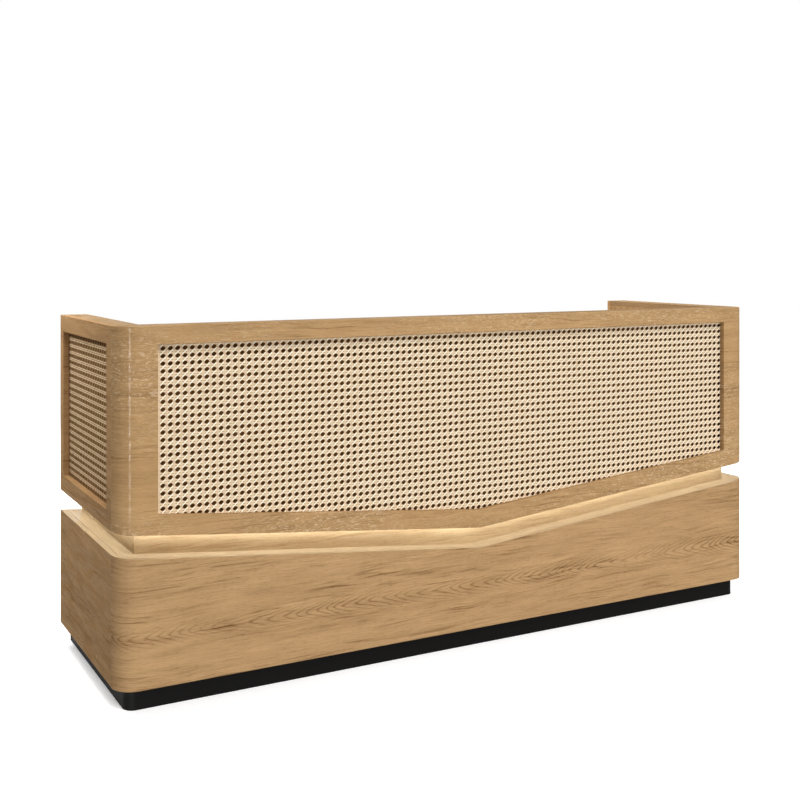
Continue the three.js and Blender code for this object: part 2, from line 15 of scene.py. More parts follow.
import bmesh
import bpy
import numpy as np
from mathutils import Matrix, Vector


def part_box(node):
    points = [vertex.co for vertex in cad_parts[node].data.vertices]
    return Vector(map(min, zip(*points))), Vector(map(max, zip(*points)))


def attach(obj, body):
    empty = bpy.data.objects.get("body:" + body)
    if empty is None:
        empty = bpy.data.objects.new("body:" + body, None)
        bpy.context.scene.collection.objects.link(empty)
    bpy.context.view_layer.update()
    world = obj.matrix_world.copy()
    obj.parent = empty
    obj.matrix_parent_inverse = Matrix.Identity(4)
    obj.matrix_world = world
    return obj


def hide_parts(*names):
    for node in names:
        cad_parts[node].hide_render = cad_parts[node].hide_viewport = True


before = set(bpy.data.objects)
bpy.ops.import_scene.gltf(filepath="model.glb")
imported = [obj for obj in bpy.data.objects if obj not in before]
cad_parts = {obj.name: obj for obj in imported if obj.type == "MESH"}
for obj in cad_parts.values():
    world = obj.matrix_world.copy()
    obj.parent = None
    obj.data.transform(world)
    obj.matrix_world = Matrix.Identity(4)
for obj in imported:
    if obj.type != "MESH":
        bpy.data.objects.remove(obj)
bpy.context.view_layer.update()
log = logging.getLogger("desk")

QUARTER_TURN = math.pi / 2
SHARP_ANGLE = math.radians(30)
SMOOTH_ANGLE = math.radians(50)
STRAND_ANGLE = math.radians(80)
MERGE_DISTANCE = 1e-6
WELD_DISTANCE = 1e-5
SEAM_TOLERANCE = 1e-4
FACING = 0.9
END_FACING = 0.7
TINY = 1e-9
GRAIN_MAP = "grain"
RIDGE = "ridge"
LEFT = -1.0
RIGHT = 1.0
SIDES = {"left": LEFT, "right": RIGHT}

Piece = bpy.types.Object
Material = bpy.types.Material
Node = bpy.types.Node
Socket = bpy.types.NodeSocket
Tree = bpy.types.NodeTree
Pair = tuple[float, float]
Point = tuple[float, float, float]
Colour = tuple[float, float, float, float]
Inputs = dict[str | int, object]

BLACK: Colour = (0.0, 0.0, 0.0, 1.0)
WHITE: Colour = (1.0, 1.0, 1.0, 1.0)


def linear(red: int, green: int, blue: int) -> Colour:
    """Turn a display colour of 0 to 255 into the linear colour that a shader takes.

    Args:
        red: Red of the display colour.
        green: Green of the display colour.
        blue: Blue of the display colour.

    Returns:
        The linear colour with full alpha.
    """
    shares = (value / 255 for value in (red, green, blue))
    curved = (s / 12.92 if s <= 0.04045 else ((s + 0.055) / 1.055) ** 2.4 for s in shares)
    return (*curved, 1.0)


# Shared sizes of the desk


@dataclass(frozen=True)
class DeskPlan:
    """Sizes that several sub-assemblies share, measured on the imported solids."""

    half_width: float
    front: float
    rear: float
    corner_radius: float
    board: float
    inner_x: float
    ledge_middle: float
    slope: float
    channel_gap: float

    @classmethod
    def measured(cls) -> "DeskPlan":
        """Read the sizes from the boxes of the solids.

        Returns:
            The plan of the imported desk.
        """
        skin_low, skin_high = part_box("lower_front_skin")
        cap_low, cap_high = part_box("cap_front")
        board = cap_high.z - cap_low.z
        ledge_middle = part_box("ledge_front_left")[0].z + board
        return cls(
            half_width=skin_high.x,
            front=skin_low.y,
            rear=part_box("lower_left_skin")[1].y,
            corner_radius=skin_high.y - skin_low.y,
            board=board,
            inner_x=-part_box("core_left")[1].x,
            ledge_middle=ledge_middle,
            slope=(skin_high.z - ledge_middle) / skin_high.x,
            channel_gap=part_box("upper_front_skin")[0].z - ledge_middle,
        )

    @property
    def corner_x(self) -> float:
        """Distance from the middle to the axis of a rounded corner."""
        return self.half_width - self.corner_radius

    @property
    def corner_y(self) -> float:
        """Depth of the axes of the rounded corners."""
        return self.front + self.corner_radius

    @property
    def soffit_middle(self) -> float:
        """Height of the upper casing's lower edge in the middle of the front."""
        return self.ledge_middle + self.channel_gap

    def at_seam(self, point: Vector) -> bool:
        """Tell whether a point lies where the front of the desk meets its sides."""
        return abs(point.y - self.corner_y) < SEAM_TOLERANCE

    def at_outer_corner(self, point: Vector) -> bool:
        """Tell whether a point of a plan lies at an outer front corner of the desk."""
        return abs(point.x) > self.corner_x + SEAM_TOLERANCE and point.y < self.corner_y


# Modelling by hand


def clear_selection() -> None:
    """Leave edit mode and deselect every object."""
    if bpy.context.mode != "OBJECT":
        bpy.ops.object.mode_set(mode="OBJECT")
    bpy.ops.object.select_all(action="DESELECT")


def focus(piece: Piece) -> None:
    """Select one piece alone and make it the active one.

    Args:
        piece: The piece to work on.
    """
    clear_selection()
    piece.select_set(True)
    bpy.context.view_layer.objects.active = piece


def settle(piece: Piece) -> None:
    """Move a piece's place, turn and scale into its mesh."""
    focus(piece)
    bpy.ops.object.transform_apply(location=True, rotation=True, scale=True)


def begin(name: str, scale: Sequence[float] = (1.0, 1.0, 1.0)) -> Piece:
    """Name the primitive that was just added, and stretch it.

    Args:
        name: Name of the new piece.
        scale: Its stretch along its own axes.

    Returns:
        The piece, with its place and stretch in its mesh.
    """
    piece = bpy.context.object
    piece.name = name
    piece.scale = scale
    settle(piece)
    return piece


@contextmanager
def editing(piece: Piece) -> Iterator[None]:
    """Open a piece in edit mode with all of it selected, and leave edit mode at the end.

    Args:
        piece: The piece to shape.

    Yields:
        Nothing: operators act on the open piece.
    """
    focus(piece)
    bpy.ops.object.mode_set(mode="EDIT")
    bpy.ops.mesh.select_mode(type="FACE")
    bpy.ops.mesh.select_all(action="SELECT")
    yield
    bpy.ops.object.mode_set(mode="OBJECT")


class MeshPart(Enum):
    """What is picked on an open piece."""

    POINT = "VERT"
    EDGE = "EDGE"
    FACE = "FACE"


def pick(piece: Piece, part: MeshPart, test: Callable[..., bool]) -> int:
    """Select the points, edges or faces of an open piece that pass a test.

    Args:
        piece: A piece in edit mode.
        part: What to pick.
        test: Says whether an element is wanted, by its place, normal or angle.

    Returns:
        How many were selected.
    """
    bpy.ops.mesh.select_mode(type=part.value)
    bpy.ops.mesh.select_all(action="DESELECT")
    mesh = bmesh.from_edit_mesh(piece.data)
    parts = {MeshPart.POINT: mesh.verts, MeshPart.EDGE: mesh.edges, MeshPart.FACE: mesh.faces}
    wanted = [element for element in parts[part] if test(element)]
    for element in wanted:
        element.select_set(True)
    bmesh.update_edit_mesh(piece.data)
    return len(wanted)


def pick_all_edges() -> None:
    """Select every edge of the open piece."""
    bpy.ops.mesh.select_mode(type="EDGE")
    bpy.ops.mesh.select_all(action="SELECT")


def extrude(shift: Sequence[float]) -> None:
    """Extrude the selected faces of the open piece."""
    bpy.ops.mesh.extrude_region_move(TRANSFORM_OT_translate={"value": shift})


def extrude_edges(shift: Sequence[float]) -> None:
    """Extrude the selected edges of the open piece."""
    bpy.ops.mesh.extrude_edges_move(TRANSFORM_OT_translate={"value": shift})


def apply_modifier(piece: Piece, kind: str, **settings: object) -> None:
    """Add a modifier to a piece and apply it.

    Args:
        piece: The piece.
        kind: Type of the modifier.
        settings: Its settings.
    """
    modifier = piece.modifiers.new(kind, kind)
    for name, value in settings.items():
        setattr(modifier, name, value)
    focus(piece)
    bpy.ops.object.modifier_apply(modifier=modifier.name)


def close_up(piece: Piece) -> None:
    """Merge doubled vertices and turn all faces outwards.

    Args:
        piece: The piece to close.
    """
    with editing(piece):
        bpy.ops.mesh.remove_doubles(threshold=MERGE_DISTANCE)
        bpy.ops.mesh.normals_make_consistent(inside=False)


def add_block(name: str, low: Sequence[float], high: Sequence[float]) -> Piece:
    """Add a block that fills the space between two corners.

    Args:
        name: Name of the new piece.
        low: One corner.
        high: The opposite corner.

    Returns:
        The block.
    """
    clear_selection()
    corners = [sorted(pair) for pair in zip(low, high)]
    middle = [(first + last) / 2 for first, last in corners]
    bpy.ops.mesh.primitive_cube_add(size=1.0, location=middle)
    return begin(name, [last - first for first, last in corners])


def add_rounded(
    name: str,
    low: Sequence[float],
    high: Sequence[float],
    radius: float,
    at_corner: Callable[[Vector], bool],
    steps: int = 14,
) -> Piece:
    """Add a block with rounded upright corners: a plan, bevelled at its corners and extruded upwards.

    Args:
        name: Name of the new piece.
        low: Lowest corner.
        high: Highest corner.
        radius: Radius of the rounded corners.
        at_corner: Says of a point of the plan whether it is to be rounded.
        steps: Facets of each corner.

    Returns:
        The block.
    """
    clear_selection()
    middle = ((low[0] + high[0]) / 2, (low[1] + high[1]) / 2, low[2])
    bpy.ops.mesh.primitive_plane_add(size=1.0, location=middle)
    piece = begin(name, (high[0] - low[0], high[1] - low[1], 1.0))
    with editing(piece):
        pick(piece, MeshPart.POINT, lambda vertex: at_corner(vertex.co))
        bpy.ops.mesh.bevel(offset=radius, segments=steps, affect="VERTICES")
        bpy.ops.mesh.select_all(action="SELECT")
        bpy.ops.mesh.remove_doubles(threshold=SEAM_TOLERANCE)
        extrude((0, 0, high[2] - low[2]))
    close_up(piece)
    return piece


def saw(piece: Piece, point: Sequence[float], away: Sequence[float]) -> None:
    """Saw a piece along a plane and close the cut.

    Args:
        piece: The piece to cut.
        point: A point of the plane.
        away: The direction in which the waste lies.
    """
    with editing(piece):
        bpy.ops.mesh.bisect(plane_co=point, plane_no=away, use_fill=True, clear_outer=True)


class Keep(Enum):
    """The part of a piece that stays when it is sawn along the channel's slopes."""

    ABOVE = 1.0
    BELOW = -1.0


def saw_slope(
    piece: Piece, plan: DeskPlan, middle: float, keep: Keep, signs: Sequence[float] = (LEFT, RIGHT)
) -> None:
    """Saw a piece along the channel's slopes.

    Args:
        piece: The piece to cut.
        plan: Shared sizes.
        middle: Height of the slopes in the middle of the desk.
        keep: The part that stays.
        signs: The slopes to saw along.
    """
    for sign in signs:
        saw(piece, (0, 0, middle), (keep.value * sign * plan.slope, 0, -keep.value))


def carve(piece: Piece, cutter: Piece) -> None:
    """Take a cutter's shape out of a piece, and remove the cutter."""
    apply_modifier(piece, "BOOLEAN", object=cutter, operation="DIFFERENCE", solver="EXACT")
    bpy.data.objects.remove(cutter)


def soften(
    piece: Piece,
    radius: float,
    steps: int = 2,
    leave: Callable[[Vector], bool] = lambda point: False,
) -> None:
    """Round the sharp edges of a piece and shade it smoothly.

    Args:
        piece: The piece to soften.
        radius: Radius of the edges.
        steps: Facets of each rounded edge.
        leave: Says of a point whether edges with both ends there stay sharp.
    """
    def is_sharp(edge: bmesh.types.BMEdge) -> bool:
        """Tell whether an edge is to be rounded."""
        stays = len(edge.link_faces) != 2 or all(leave(vertex.co) for vertex in edge.verts)
        return not stays and edge.calc_face_angle() > SHARP_ANGLE

    with editing(piece):
        if pick(piece, MeshPart.EDGE, is_sharp):
            bpy.ops.mesh.bevel(offset=radius, segments=steps, affect="EDGES", clamp_overlap=True)
    smooth(piece)


def smooth(piece: Piece) -> None:
    """Shade a piece smoothly with flat faces kept flat.

    Args:
        piece: The piece to shade.
    """
    focus(piece)
    bpy.ops.object.shade_smooth_by_angle(angle=SMOOTH_ANGLE)
    apply_modifier(piece, "WEIGHTED_NORMAL", keep_sharp=True)


def turn(name: str, profile: Sequence[Pair], steps: int, solid: bool) -> Piece:
    """Turn a piece on the upright axis: a ring, extruded and resized along a profile.

    Args:
        name: Name of the new piece.
        profile: Radius and height of each ring.
        steps: Facets round the axis.
        solid: True for a piece with closed ends, False where the profile comes back to its start.

    Returns:
        The turned piece, standing at the origin.
    """
    clear_selection()
    radius, height = profile[0]
    fill = "NGON" if solid else "NOTHING"
    bpy.ops.mesh.primitive_circle_add(
        vertices=steps, radius=radius, fill_type=fill, location=(0, 0, height)
    )
    piece = begin(name)
    grow = extrude if solid else extrude_edges
    with editing(piece):
        if not solid:
            pick_all_edges()
        for (radius, height), (next_radius, next_height) in pairwise(profile):
            grow((0, 0, next_height - height))
            growth = next_radius / radius
            bpy.ops.transform.resize(value=(growth, growth, 1), center_override=(0, 0, next_height))
    close_up(piece)
    return piece


def send(piece: Piece, place: Sequence[float], turned: Sequence[float] = (0, 0, 0)) -> None:
    """Turn a piece about the origin and move it to its place.

    Args:
        piece: The piece to move.
        place: Where its origin goes.
        turned: Its turn about X, Y and Z.
    """
    piece.location = place
    piece.rotation_euler = turned
    settle(piece)


def join(pieces: Sequence[Piece]) -> Piece:
    """Join pieces into the first of them.

    Args:
        pieces: The pieces to join.

    Returns:
        The joined piece.
    """
    focus(pieces[0])
    for piece in pieces:
        piece.select_set(True)
    bpy.ops.object.join()
    return pieces[0]


def array(piece: Piece, count: int, step: Sequence[float], weld: bool) -> None:
    """Repeat a piece in a row.

    Args:
        piece: The piece to repeat.
        count: Number of copies, the first one included.
        step: Offset from one copy to the next.
        weld: True where the end of each copy joins the next.
    """
    apply_modifier(
        piece, "ARRAY", count=count, use_relative_offset=False, use_constant_offset=True,
        constant_offset_displace=step, use_merge_vertices=weld, merge_threshold=WELD_DISTANCE,
    )


def front_band(name: str, plan: DeskPlan, insets: Pair, levels: Pair, steps: int) -> Piece:
    """Bend an upright strip round both front corners of the desk.

    Args:
        name: Name of the new piece.
        plan: Shared sizes.
        insets: Set-in of the strip's outer and inner face from the outside of the desk.
        levels: Lower and upper edge.
        steps: Facets of each corner.

    Returns:
        The closed strip, with its ends where the sides of the desk start.
    """
    clear_selection()
    outer, inner = insets
    low, high = levels
    middle = (-plan.half_width + (outer + inner) / 2, plan.corner_y, (low + high) / 2)
    bpy.ops.mesh.primitive_plane_add(size=1.0, location=middle, rotation=(QUARTER_TURN, 0, 0))
    piece = begin(name, (inner - outer, high - low, 1.0))
    bend = {"steps": steps, "angle": -QUARTER_TURN, "axis": (0, 0, 1)}
    with editing(piece):
        bpy.ops.mesh.spin(center=(-plan.corner_x, plan.corner_y, 0), **bend)
        extrude((2 * plan.corner_x, 0, 0))
        bpy.ops.mesh.spin(center=(plan.corner_x, plan.corner_y, 0), **bend)
    close_up(piece)
    return piece


# Direction of the grain


class GrainRun(Enum):
    """The way in which the grain runs on a board: along X, along Y, or round the outside of the desk."""

    ACROSS = 0
    DEEP = 1
    WRAPPED = 2


def wrap_length(plan: DeskPlan, x: np.ndarray, y: np.ndarray) -> np.ndarray:
    """Measure how far points lie along the outside of the desk, from the middle of the front.

    Args:
        plan: Shared sizes.
        x: Places across the desk.
        y: Places in depth.

    Returns:
        The lengths, negative on the left.
    """
    beyond = np.abs(x) - plan.corner_x
    ahead = plan.corner_y - y
    angle = np.arctan2(np.maximum(beyond, 0), np.maximum(ahead, TINY))
    on_side = np.maximum(-ahead, 0) * (beyond > 0)
    wrapped = plan.corner_x + plan.corner_radius * angle + on_side
    return np.where(beyond > 0, np.sign(x) * wrapped, x)


def rows_of(items: bpy.types.bpy_prop_collection, name: str, kind: type, width: int) -> np.ndarray:
    """Read a property of all points, corners or faces of a mesh.

    Args:
        items: The points, corners or faces.
        name: The property.
        kind: Type of its numbers.
        width: How many numbers it has.

    Returns:
        One row for each item.
    """
    values = np.empty(len(items) * width, kind)
    items.foreach_get(name, values)
    return values.reshape(-1, width)


def lay_grain(piece: Piece, plan: DeskPlan, run: GrainRun, start: Pair) -> None:
    """Write the map that the wood finishes read: along the grain, then across it, in metres.

    Args:
        piece: The board.
        plan: Shared sizes.
        run: The way of the grain.
        start: Offset of the board in the veneer, along and across the grain.
    """
    mesh = piece.data
    corners = rows_of(mesh.loops, "vertex_index", np.int32, 1)[:, 0]
    points = rows_of(mesh.vertices, "co", np.float32, 3)[corners].astype(float)
    totals = rows_of(mesh.polygons, "loop_total", np.int32, 1)[:, 0]
    normals = rows_of(mesh.polygons, "normal", np.float32, 3)
    facing = np.abs(np.repeat(normals, totals, axis=0))
    if run is GrainRun.WRAPPED:
        along = wrap_length(plan, points[:, 0], points[:, 1])
        depth = np.hypot(points[:, 0] - along, points[:, 1] - plan.front)
        level = facing[:, 2] > END_FACING
        across = points[:, 2] + np.where(level, np.minimum(depth, plan.board), 0)
    else:
        main = run.value
        second, third = [axis for axis in range(3) if axis != main]
        end = facing[:, main] > END_FACING
        on_second = facing[:, second] > facing[:, third]
        across = np.where(on_second, points[:, third], points[:, second])
        across = np.where(end, points[:, third], across)
        along = np.where(end, points[:, second], points[:, main])
    values = np.column_stack((along + start[0], across + start[1])).astype(np.float32)
    layer = mesh.uv_layers.get(GRAIN_MAP) or mesh.uv_layers.new(name=GRAIN_MAP)
    layer.data.foreach_set("uv", values.ravel())


# Node trees


class Graph:
    """A node tree with short calls to add nodes and feed their inputs."""

    def __init__(self, tree: Tree) -> None:
        """Keep the tree to work on."""
        self.tree = tree

    def feed(self, node: Node, inputs: Inputs) -> None:
        """Set or link inputs of a node.

        Args:
            node: The node.
            inputs: Value or socket for each input, by name or index.
        """
        for name, value in inputs.items():
            socket = node.inputs[name]
            if isinstance(value, Socket):
                self.tree.links.new(value, socket)
            else:
                socket.default_value = value

    def add(self, kind: str, inputs: Inputs | None = None, **settings: object) -> Node:
        """Add a node, set its properties and feed its inputs.

        Args:
            kind: Type of the node.
            inputs: Value or socket for each input, by name or index.
            settings: Properties of the node.

        Returns:
            The node.
        """
        node = self.tree.nodes.new(kind)
        for name, value in settings.items():
            setattr(node, name, value)
        self.feed(node, inputs or {})
        return node

    def place(self) -> Socket:
        """Read the place on the object."""
        return self.add("ShaderNodeTexCoord").outputs["Object"]

    def parts(self, vector: Socket) -> Sequence[Socket]:
        """Split a vector into X, Y and Z."""
        return self.add("ShaderNodeSeparateXYZ", {0: vector}).outputs

    def flat(self, x: Socket, y: Socket) -> Socket:
        """Make a flat vector of X and Y."""
        return self.add("ShaderNodeCombineXYZ", {0: x, 1: y}).outputs[0]

    def math(self, operation: str, *terms: object) -> Socket:
        """Calculate with numbers or sockets."""
        return self.add("ShaderNodeMath", dict(enumerate(terms)), operation=operation).outputs[0]

    def times(self, *factors: object) -> Socket:
        """Multiply numbers or sockets.

        Args:
            factors: Two or more of them.

        Returns:
            Their product.
        """
        product = factors[0]
        for factor in factors[1:]:
            product = self.math("MULTIPLY", product, factor)
        return product

    def total(self, shares: Sequence[tuple[Socket, float]]) -> Socket:
        """Add up masks.

        Args:
            shares: Each mask with its weight.

        Returns:
            Their sum.
        """
        depth = 0.0
        for mask, weight in shares:
            depth = self.math("MULTIPLY_ADD", mask, weight, depth)
        return depth

    def stretch(self, vector: Socket, scale: Point) -> Socket:
        """Scale a vector along its axes."""
        return self.add("ShaderNodeVectorMath", {0: vector, 1: scale}, operation="MULTIPLY").outputs[0]

    def noise(
        self, vector: Socket, waves: Sequence[float], detail: float = 2.0, distortion: float = 0.0
    ) -> Socket:
        """Add a noise.

        Args:
            vector: Where to read it.
            waves: Its waves per metre along two or three axes.
            detail: Its detail.
            distortion: Its distortion.

        Returns:
            Its value, from 0 to 1.
        """
        stretched = self.stretch(vector, (*waves, 1.0)[:3])
        inputs = {"Vector": stretched, "Scale": 1.0, "Detail": detail, "Distortion": distortion}
        return self.add("ShaderNodeTexNoise", inputs).outputs["Fac"]

    def swing(self, vector: Socket, waves: Pair, detail: float = 2.0) -> Socket:
        """Add a noise that swings about 0."""
        return self.math("SUBTRACT", self.noise(vector, waves, detail), 0.5)

    def span(self, value: Socket, low: float, high: float, to: Pair = (0, 1)) -> Socket:
        """Map a range of a value to another range, and hold it there."""
        inputs = {"Value": value, 1: low, 2: high, 3: to[0], 4: to[1]}
        return self.add("ShaderNodeMapRange", inputs, clamp=True).outputs[0]

    def blend(self, factor: object, first: object, second: object) -> Socket:
        """Mix two colours by a factor."""
        inputs = {0: factor, 6: first, 7: second}
        return self.add("ShaderNodeMix", inputs, data_type="RGBA").outputs[2]

    def bump(self, height: Socket, strength: float, depth: float) -> Socket:
        """Turn a height into a normal."""
        inputs = {"Strength": strength, "Distance": depth, "Height": height}
        return self.add("ShaderNodeBump", inputs).outputs["Normal"]


def new_group(
    name: str, takes: dict[str, str], gives: dict[str, str]
) -> tuple[Graph, Sequence[Socket], Node]:
    """Start a shader node group with named sockets.

    Args:
        name: Name of the group.
        takes: Type of each input, by name.
        gives: Type of each output, by name.

    Returns:
        The group's graph, its inputs to read, and the node that its outputs are fed to.
    """
    tree = bpy.data.node_groups.new(name, "ShaderNodeTree")
    for way, sockets in (("INPUT", takes), ("OUTPUT", gives)):
        for label, kind in sockets.items():
            tree.interface.new_socket(label, in_out=way, socket_type=f"NodeSocket{kind}")
    graph = Graph(tree)
    return graph, graph.add("NodeGroupInput").outputs, graph.add("NodeGroupOutput")


def new_material(name: str) -> tuple[Material, Graph, Node]:
    """Start a node material.

    Args:
        name: Name of the material.

    Returns:
        The material, its graph and its Principled shader.
    """
    material = bpy.data.materials.new(name)
    material.use_nodes = True
    return material, Graph(material.node_tree), material.node_tree.nodes["Principled BSDF"]


@dataclass(frozen=True)
class GrainLayer:
    """A layer of the oak's figure: a noise of so many waves along and across the grain, cut to a range."""

    waves: Pair
    detail: float
    reach: Pair
    weight: float = 1.0
    distortion: float = 0.0

    def draw(self, graph: Graph, place: Socket) -> Socket:
        """Draw the layer as a mask."""
        return graph.span(graph.noise(place, self.waves, self.detail, self.distortion), *self.reach)


@dataclass(frozen=True)
class OakFigure:
    """The figure of oak: bands, growth rings that meet in arches, threads, pores, and pale fleck marks that
    are partly the oak's own ray fleck and partly painted glints.
    """

    bands: GrainLayer = GrainLayer((0.7, 11.0), 3.0, (0.3, 0.7), 0.2)
    patches: GrainLayer = GrainLayer((5.0, 38.0), 3.0, (0.36, 0.68), 0.16, 0.6)
    streaks: GrainLayer = GrainLayer((9.0, 330.0), 4.0, (0.34, 0.68), 0.2)
    threads: GrainLayer = GrainLayer((6.0, 130.0), 6.0, (0.5, 0.68), 0.6, 0.5)
    thread_gate: GrainLayer = GrainLayer((2.0, 16.0), 2.0, (0.4, 0.62))
    dashes: GrainLayer = GrainLayer((22.0, 260.0), 3.0, (0.54, 0.7), 0.16)
    pores: GrainLayer = GrainLayer((60.0, 620.0), 2.0, (0.56, 0.7), 0.26)
    arch_gate: GrainLayer = GrainLayer((2.2, 14.0), 2.0, (0.3, 0.55), 0.46)
    # Pale fleck marks: partly oak ray fleck, partly painted glints standing in for sheen on the lacquer.
    glint_flecks: GrainLayer = GrainLayer((60.0, 230.0), 3.0, (0.52, 0.66), distortion=1.4)
    glint_fleck_gate: GrainLayer = GrainLayer((1.4, 4.0), 2.0, (0.4, 0.62))
    glint_fleck_tone: Colour = linear(238, 214, 178)
    lacquer: GrainLayer = GrainLayer((9.0, 60.0), 3.0, (0.57, 0.47))
    sway: float = 0.024
    sway_waves: Pair = (5.0, 9.0)
    drift: float = 0.05
    drift_waves: Pair = (1.1, 3.0)
    jitter: float = 0.012
    jitter_waves: Pair = (9.0, 45.0)
    jitter_detail: float = 4.0
    heart_period: float = 0.36
    heart_radius: float = 0.004
    heart_reach: Pair = (0.036, 0.008)
    rings_along: float = 27.0
    rings_across: float = 104.0
    ring_wander: float = 7.0
    wander_waves: Pair = (3.2, 0.5)
    ring_sharpness: float = 5.0
    roughness: Pair = (0.38, 0.5)
    pore_depth: float = 0.6
    streak_depth: float = 0.4

    def arches(self, graph: Graph, grain: Socket) -> Socket:
        """Draw growth rings that meet in arches along the heart of the board.

        Args:
            graph: The group's graph.
            grain: Place along and across the grain.

        Returns:
            The mask of the late wood.
        """
        along, across, _ = graph.parts(grain)
        drift = graph.swing(grain, self.drift_waves)
        jitter = graph.swing(grain, self.jitter_waves, self.jitter_detail)
        bent = graph.math("MULTIPLY_ADD", drift, self.drift, across)
        bent = graph.math("MULTIPLY_ADD", jitter, self.jitter, bent)
        heart = graph.math("WRAP", bent, self.heart_period / 2, -self.heart_period / 2)
        bow = graph.math("SQRT", graph.math("MULTIPLY_ADD", heart, heart, self.heart_radius ** 2))
        wander = graph.times(graph.noise(grain, self.wander_waves), self.ring_wander)
        pace = graph.math("MULTIPLY_ADD", along, self.rings_along, wander)
        ring = graph.math("MULTIPLY_ADD", bow, -self.rings_across, pace)
        wave = graph.math("SINE", graph.times(ring, math.tau))
        late = graph.math("POWER", graph.math("MULTIPLY_ADD", wave, 0.5, 0.5), self.ring_sharpness)
        near = graph.span(graph.math("ABSOLUTE", heart), *self.heart_reach)
        return graph.times(late, near, self.arch_gate.draw(graph, grain))

    def build(self) -> Tree:
        """Build the group that draws the figure.

        Returns:
            The group, which gives a colour, a roughness, a height and a mask of the lacquer's gloss.
        """
        takes = {"Grain": "Vector", "Pale": "Color", "Deep": "Color"}
        takes |= {"Figure": "Float", "Streaks": "Float", "GlintFlecks": "Float"}
        gives = {"Color": "Color", "Roughness": "Float", "Height": "Float", "Lacquer": "Float"}
        graph, read, end = new_group("oak_figure", takes, gives)
        grain = read["Grain"]
        along, across, _ = graph.parts(grain)
        sway = graph.swing(grain, self.sway_waves)
        wavy = graph.flat(along, graph.math("MULTIPLY_ADD", sway, self.sway, across))
        streaks = self.streaks.draw(graph, wavy)
        pores = self.pores.draw(graph, wavy)
        threads = graph.times(
            self.threads.draw(graph, wavy), self.thread_gate.draw(graph, wavy), read["Streaks"]
        )
        arches = graph.times(self.arches(graph, grain), read["Figure"])
        depth = graph.total([
            (self.bands.draw(graph, wavy), self.bands.weight),
            (self.patches.draw(graph, wavy), self.patches.weight),
            (streaks, self.streaks.weight),
            (threads, self.threads.weight),
            (self.dashes.draw(graph, wavy), self.dashes.weight),
            (arches, self.arch_gate.weight),
            (pores, self.pores.weight),
        ])
        # Pale fleck marks, partly painted glints.
        glint_flecks = graph.times(
            self.glint_flecks.draw(graph, wavy), self.glint_fleck_gate.draw(graph, grain), read["GlintFlecks"]
        )
        wood = graph.blend(depth, read["Pale"], read["Deep"])
        graph.feed(end, {
            "Color": graph.blend(glint_flecks, wood, self.glint_fleck_tone),
            "Roughness": graph.span(streaks, 0.0, 1.0, self.roughness),
            "Height": graph.total([(streaks, -self.streak_depth), (pores, -self.pore_depth)]),
            "Lacquer": self.lacquer.draw(graph, wavy),
        })
        return graph.tree


@dataclass(frozen=True)
class CaneSkin:
    """The skin of split cane: fibres along the strand, honey-coloured stretches, and darker edges that are
    partly the cane's own colour and partly painted shade between the strands.
    """

    fibre_detail: float = 3.0
    fibre_reach: Pair = (0.35, 0.7)
    fibre_weight: float = 0.3
    honey_waves: Point = (46.0, 46.0, 46.0)
    honey_reach: Pair = (0.42, 0.7)
    honey_weight: float = 0.4
    edge_reach: float = 0.4
    roughness: Pair = (0.38, 0.55)

    def build(self) -> Tree:
        """Build the group that draws the skin.

        Returns:
            The group, which gives a colour, a roughness and a height.
        """
        takes = {"Fibre": "Vector", "Place": "Vector", "Ridge": "Float"}
        takes |= {"Cream": "Color", "Honey": "Color", "Edge": "Color"}
        gives = {"Color": "Color", "Roughness": "Float", "Height": "Float"}
        graph, read, end = new_group("cane_skin", takes, gives)
        fibre_noise = graph.noise(read["Fibre"], (1.0, 1.0), self.fibre_detail)
        fibres = graph.span(fibre_noise, *self.fibre_reach)
        honey = graph.span(graph.noise(read["Place"], self.honey_waves), *self.honey_reach)
        depth = graph.total([(fibres, self.fibre_weight), (honey, self.honey_weight)])
        skin = graph.blend(depth, read["Cream"], read["Honey"])
        graph.feed(end, {
            # Strand edges take the darker edge tone: partly the cane's own colour, partly painted shade
            # between the strands.
            "Color": graph.blend(graph.span(read["Ridge"], 0.0, self.edge_reach), read["Edge"], skin),
            "Roughness": graph.span(fibres, 0.0, 1.0, self.roughness),
            "Height": fibres,
        })
        return graph.tree


@dataclass(frozen=True)
class Speckle:
    """The fine texture of moulded or sprayed surfaces."""

    mottle_scale: float = 9.0
    mottle_detail: float = 3.0
    grit_detail: float = 2.0

    def build(self) -> Tree:
        """Build the group that draws the texture.

        Returns:
            The group, which gives a mottle mask and a height.
        """
        takes = {"Place": "Vector", "Scale": "Float"}
        graph, read, end = new_group("fine_speckle", takes, {"Mottle": "Float", "Height": "Float"})
        mottle = {"Vector": read["Place"], "Scale": self.mottle_scale, "Detail": self.mottle_detail}
        grit = {"Vector": read["Place"], "Scale": read["Scale"], "Detail": self.grit_detail}
        graph.feed(end, {
            "Mottle": graph.add("ShaderNodeTexNoise", mottle).outputs["Fac"],
            "Height": graph.add("ShaderNodeTexNoise", grit).outputs["Fac"],
        })
        return graph.tree


# Finishes


@dataclass(frozen=True)
class Finish:
    """A finish: its name, and its slot in the record."""

    name: str
    slot: str


class GrainSource(Enum):
    """Where a wood finish reads the direction of its grain."""

    MAP = "grain map of the board"
    PLACE = "place in the desk, with the grain across it"


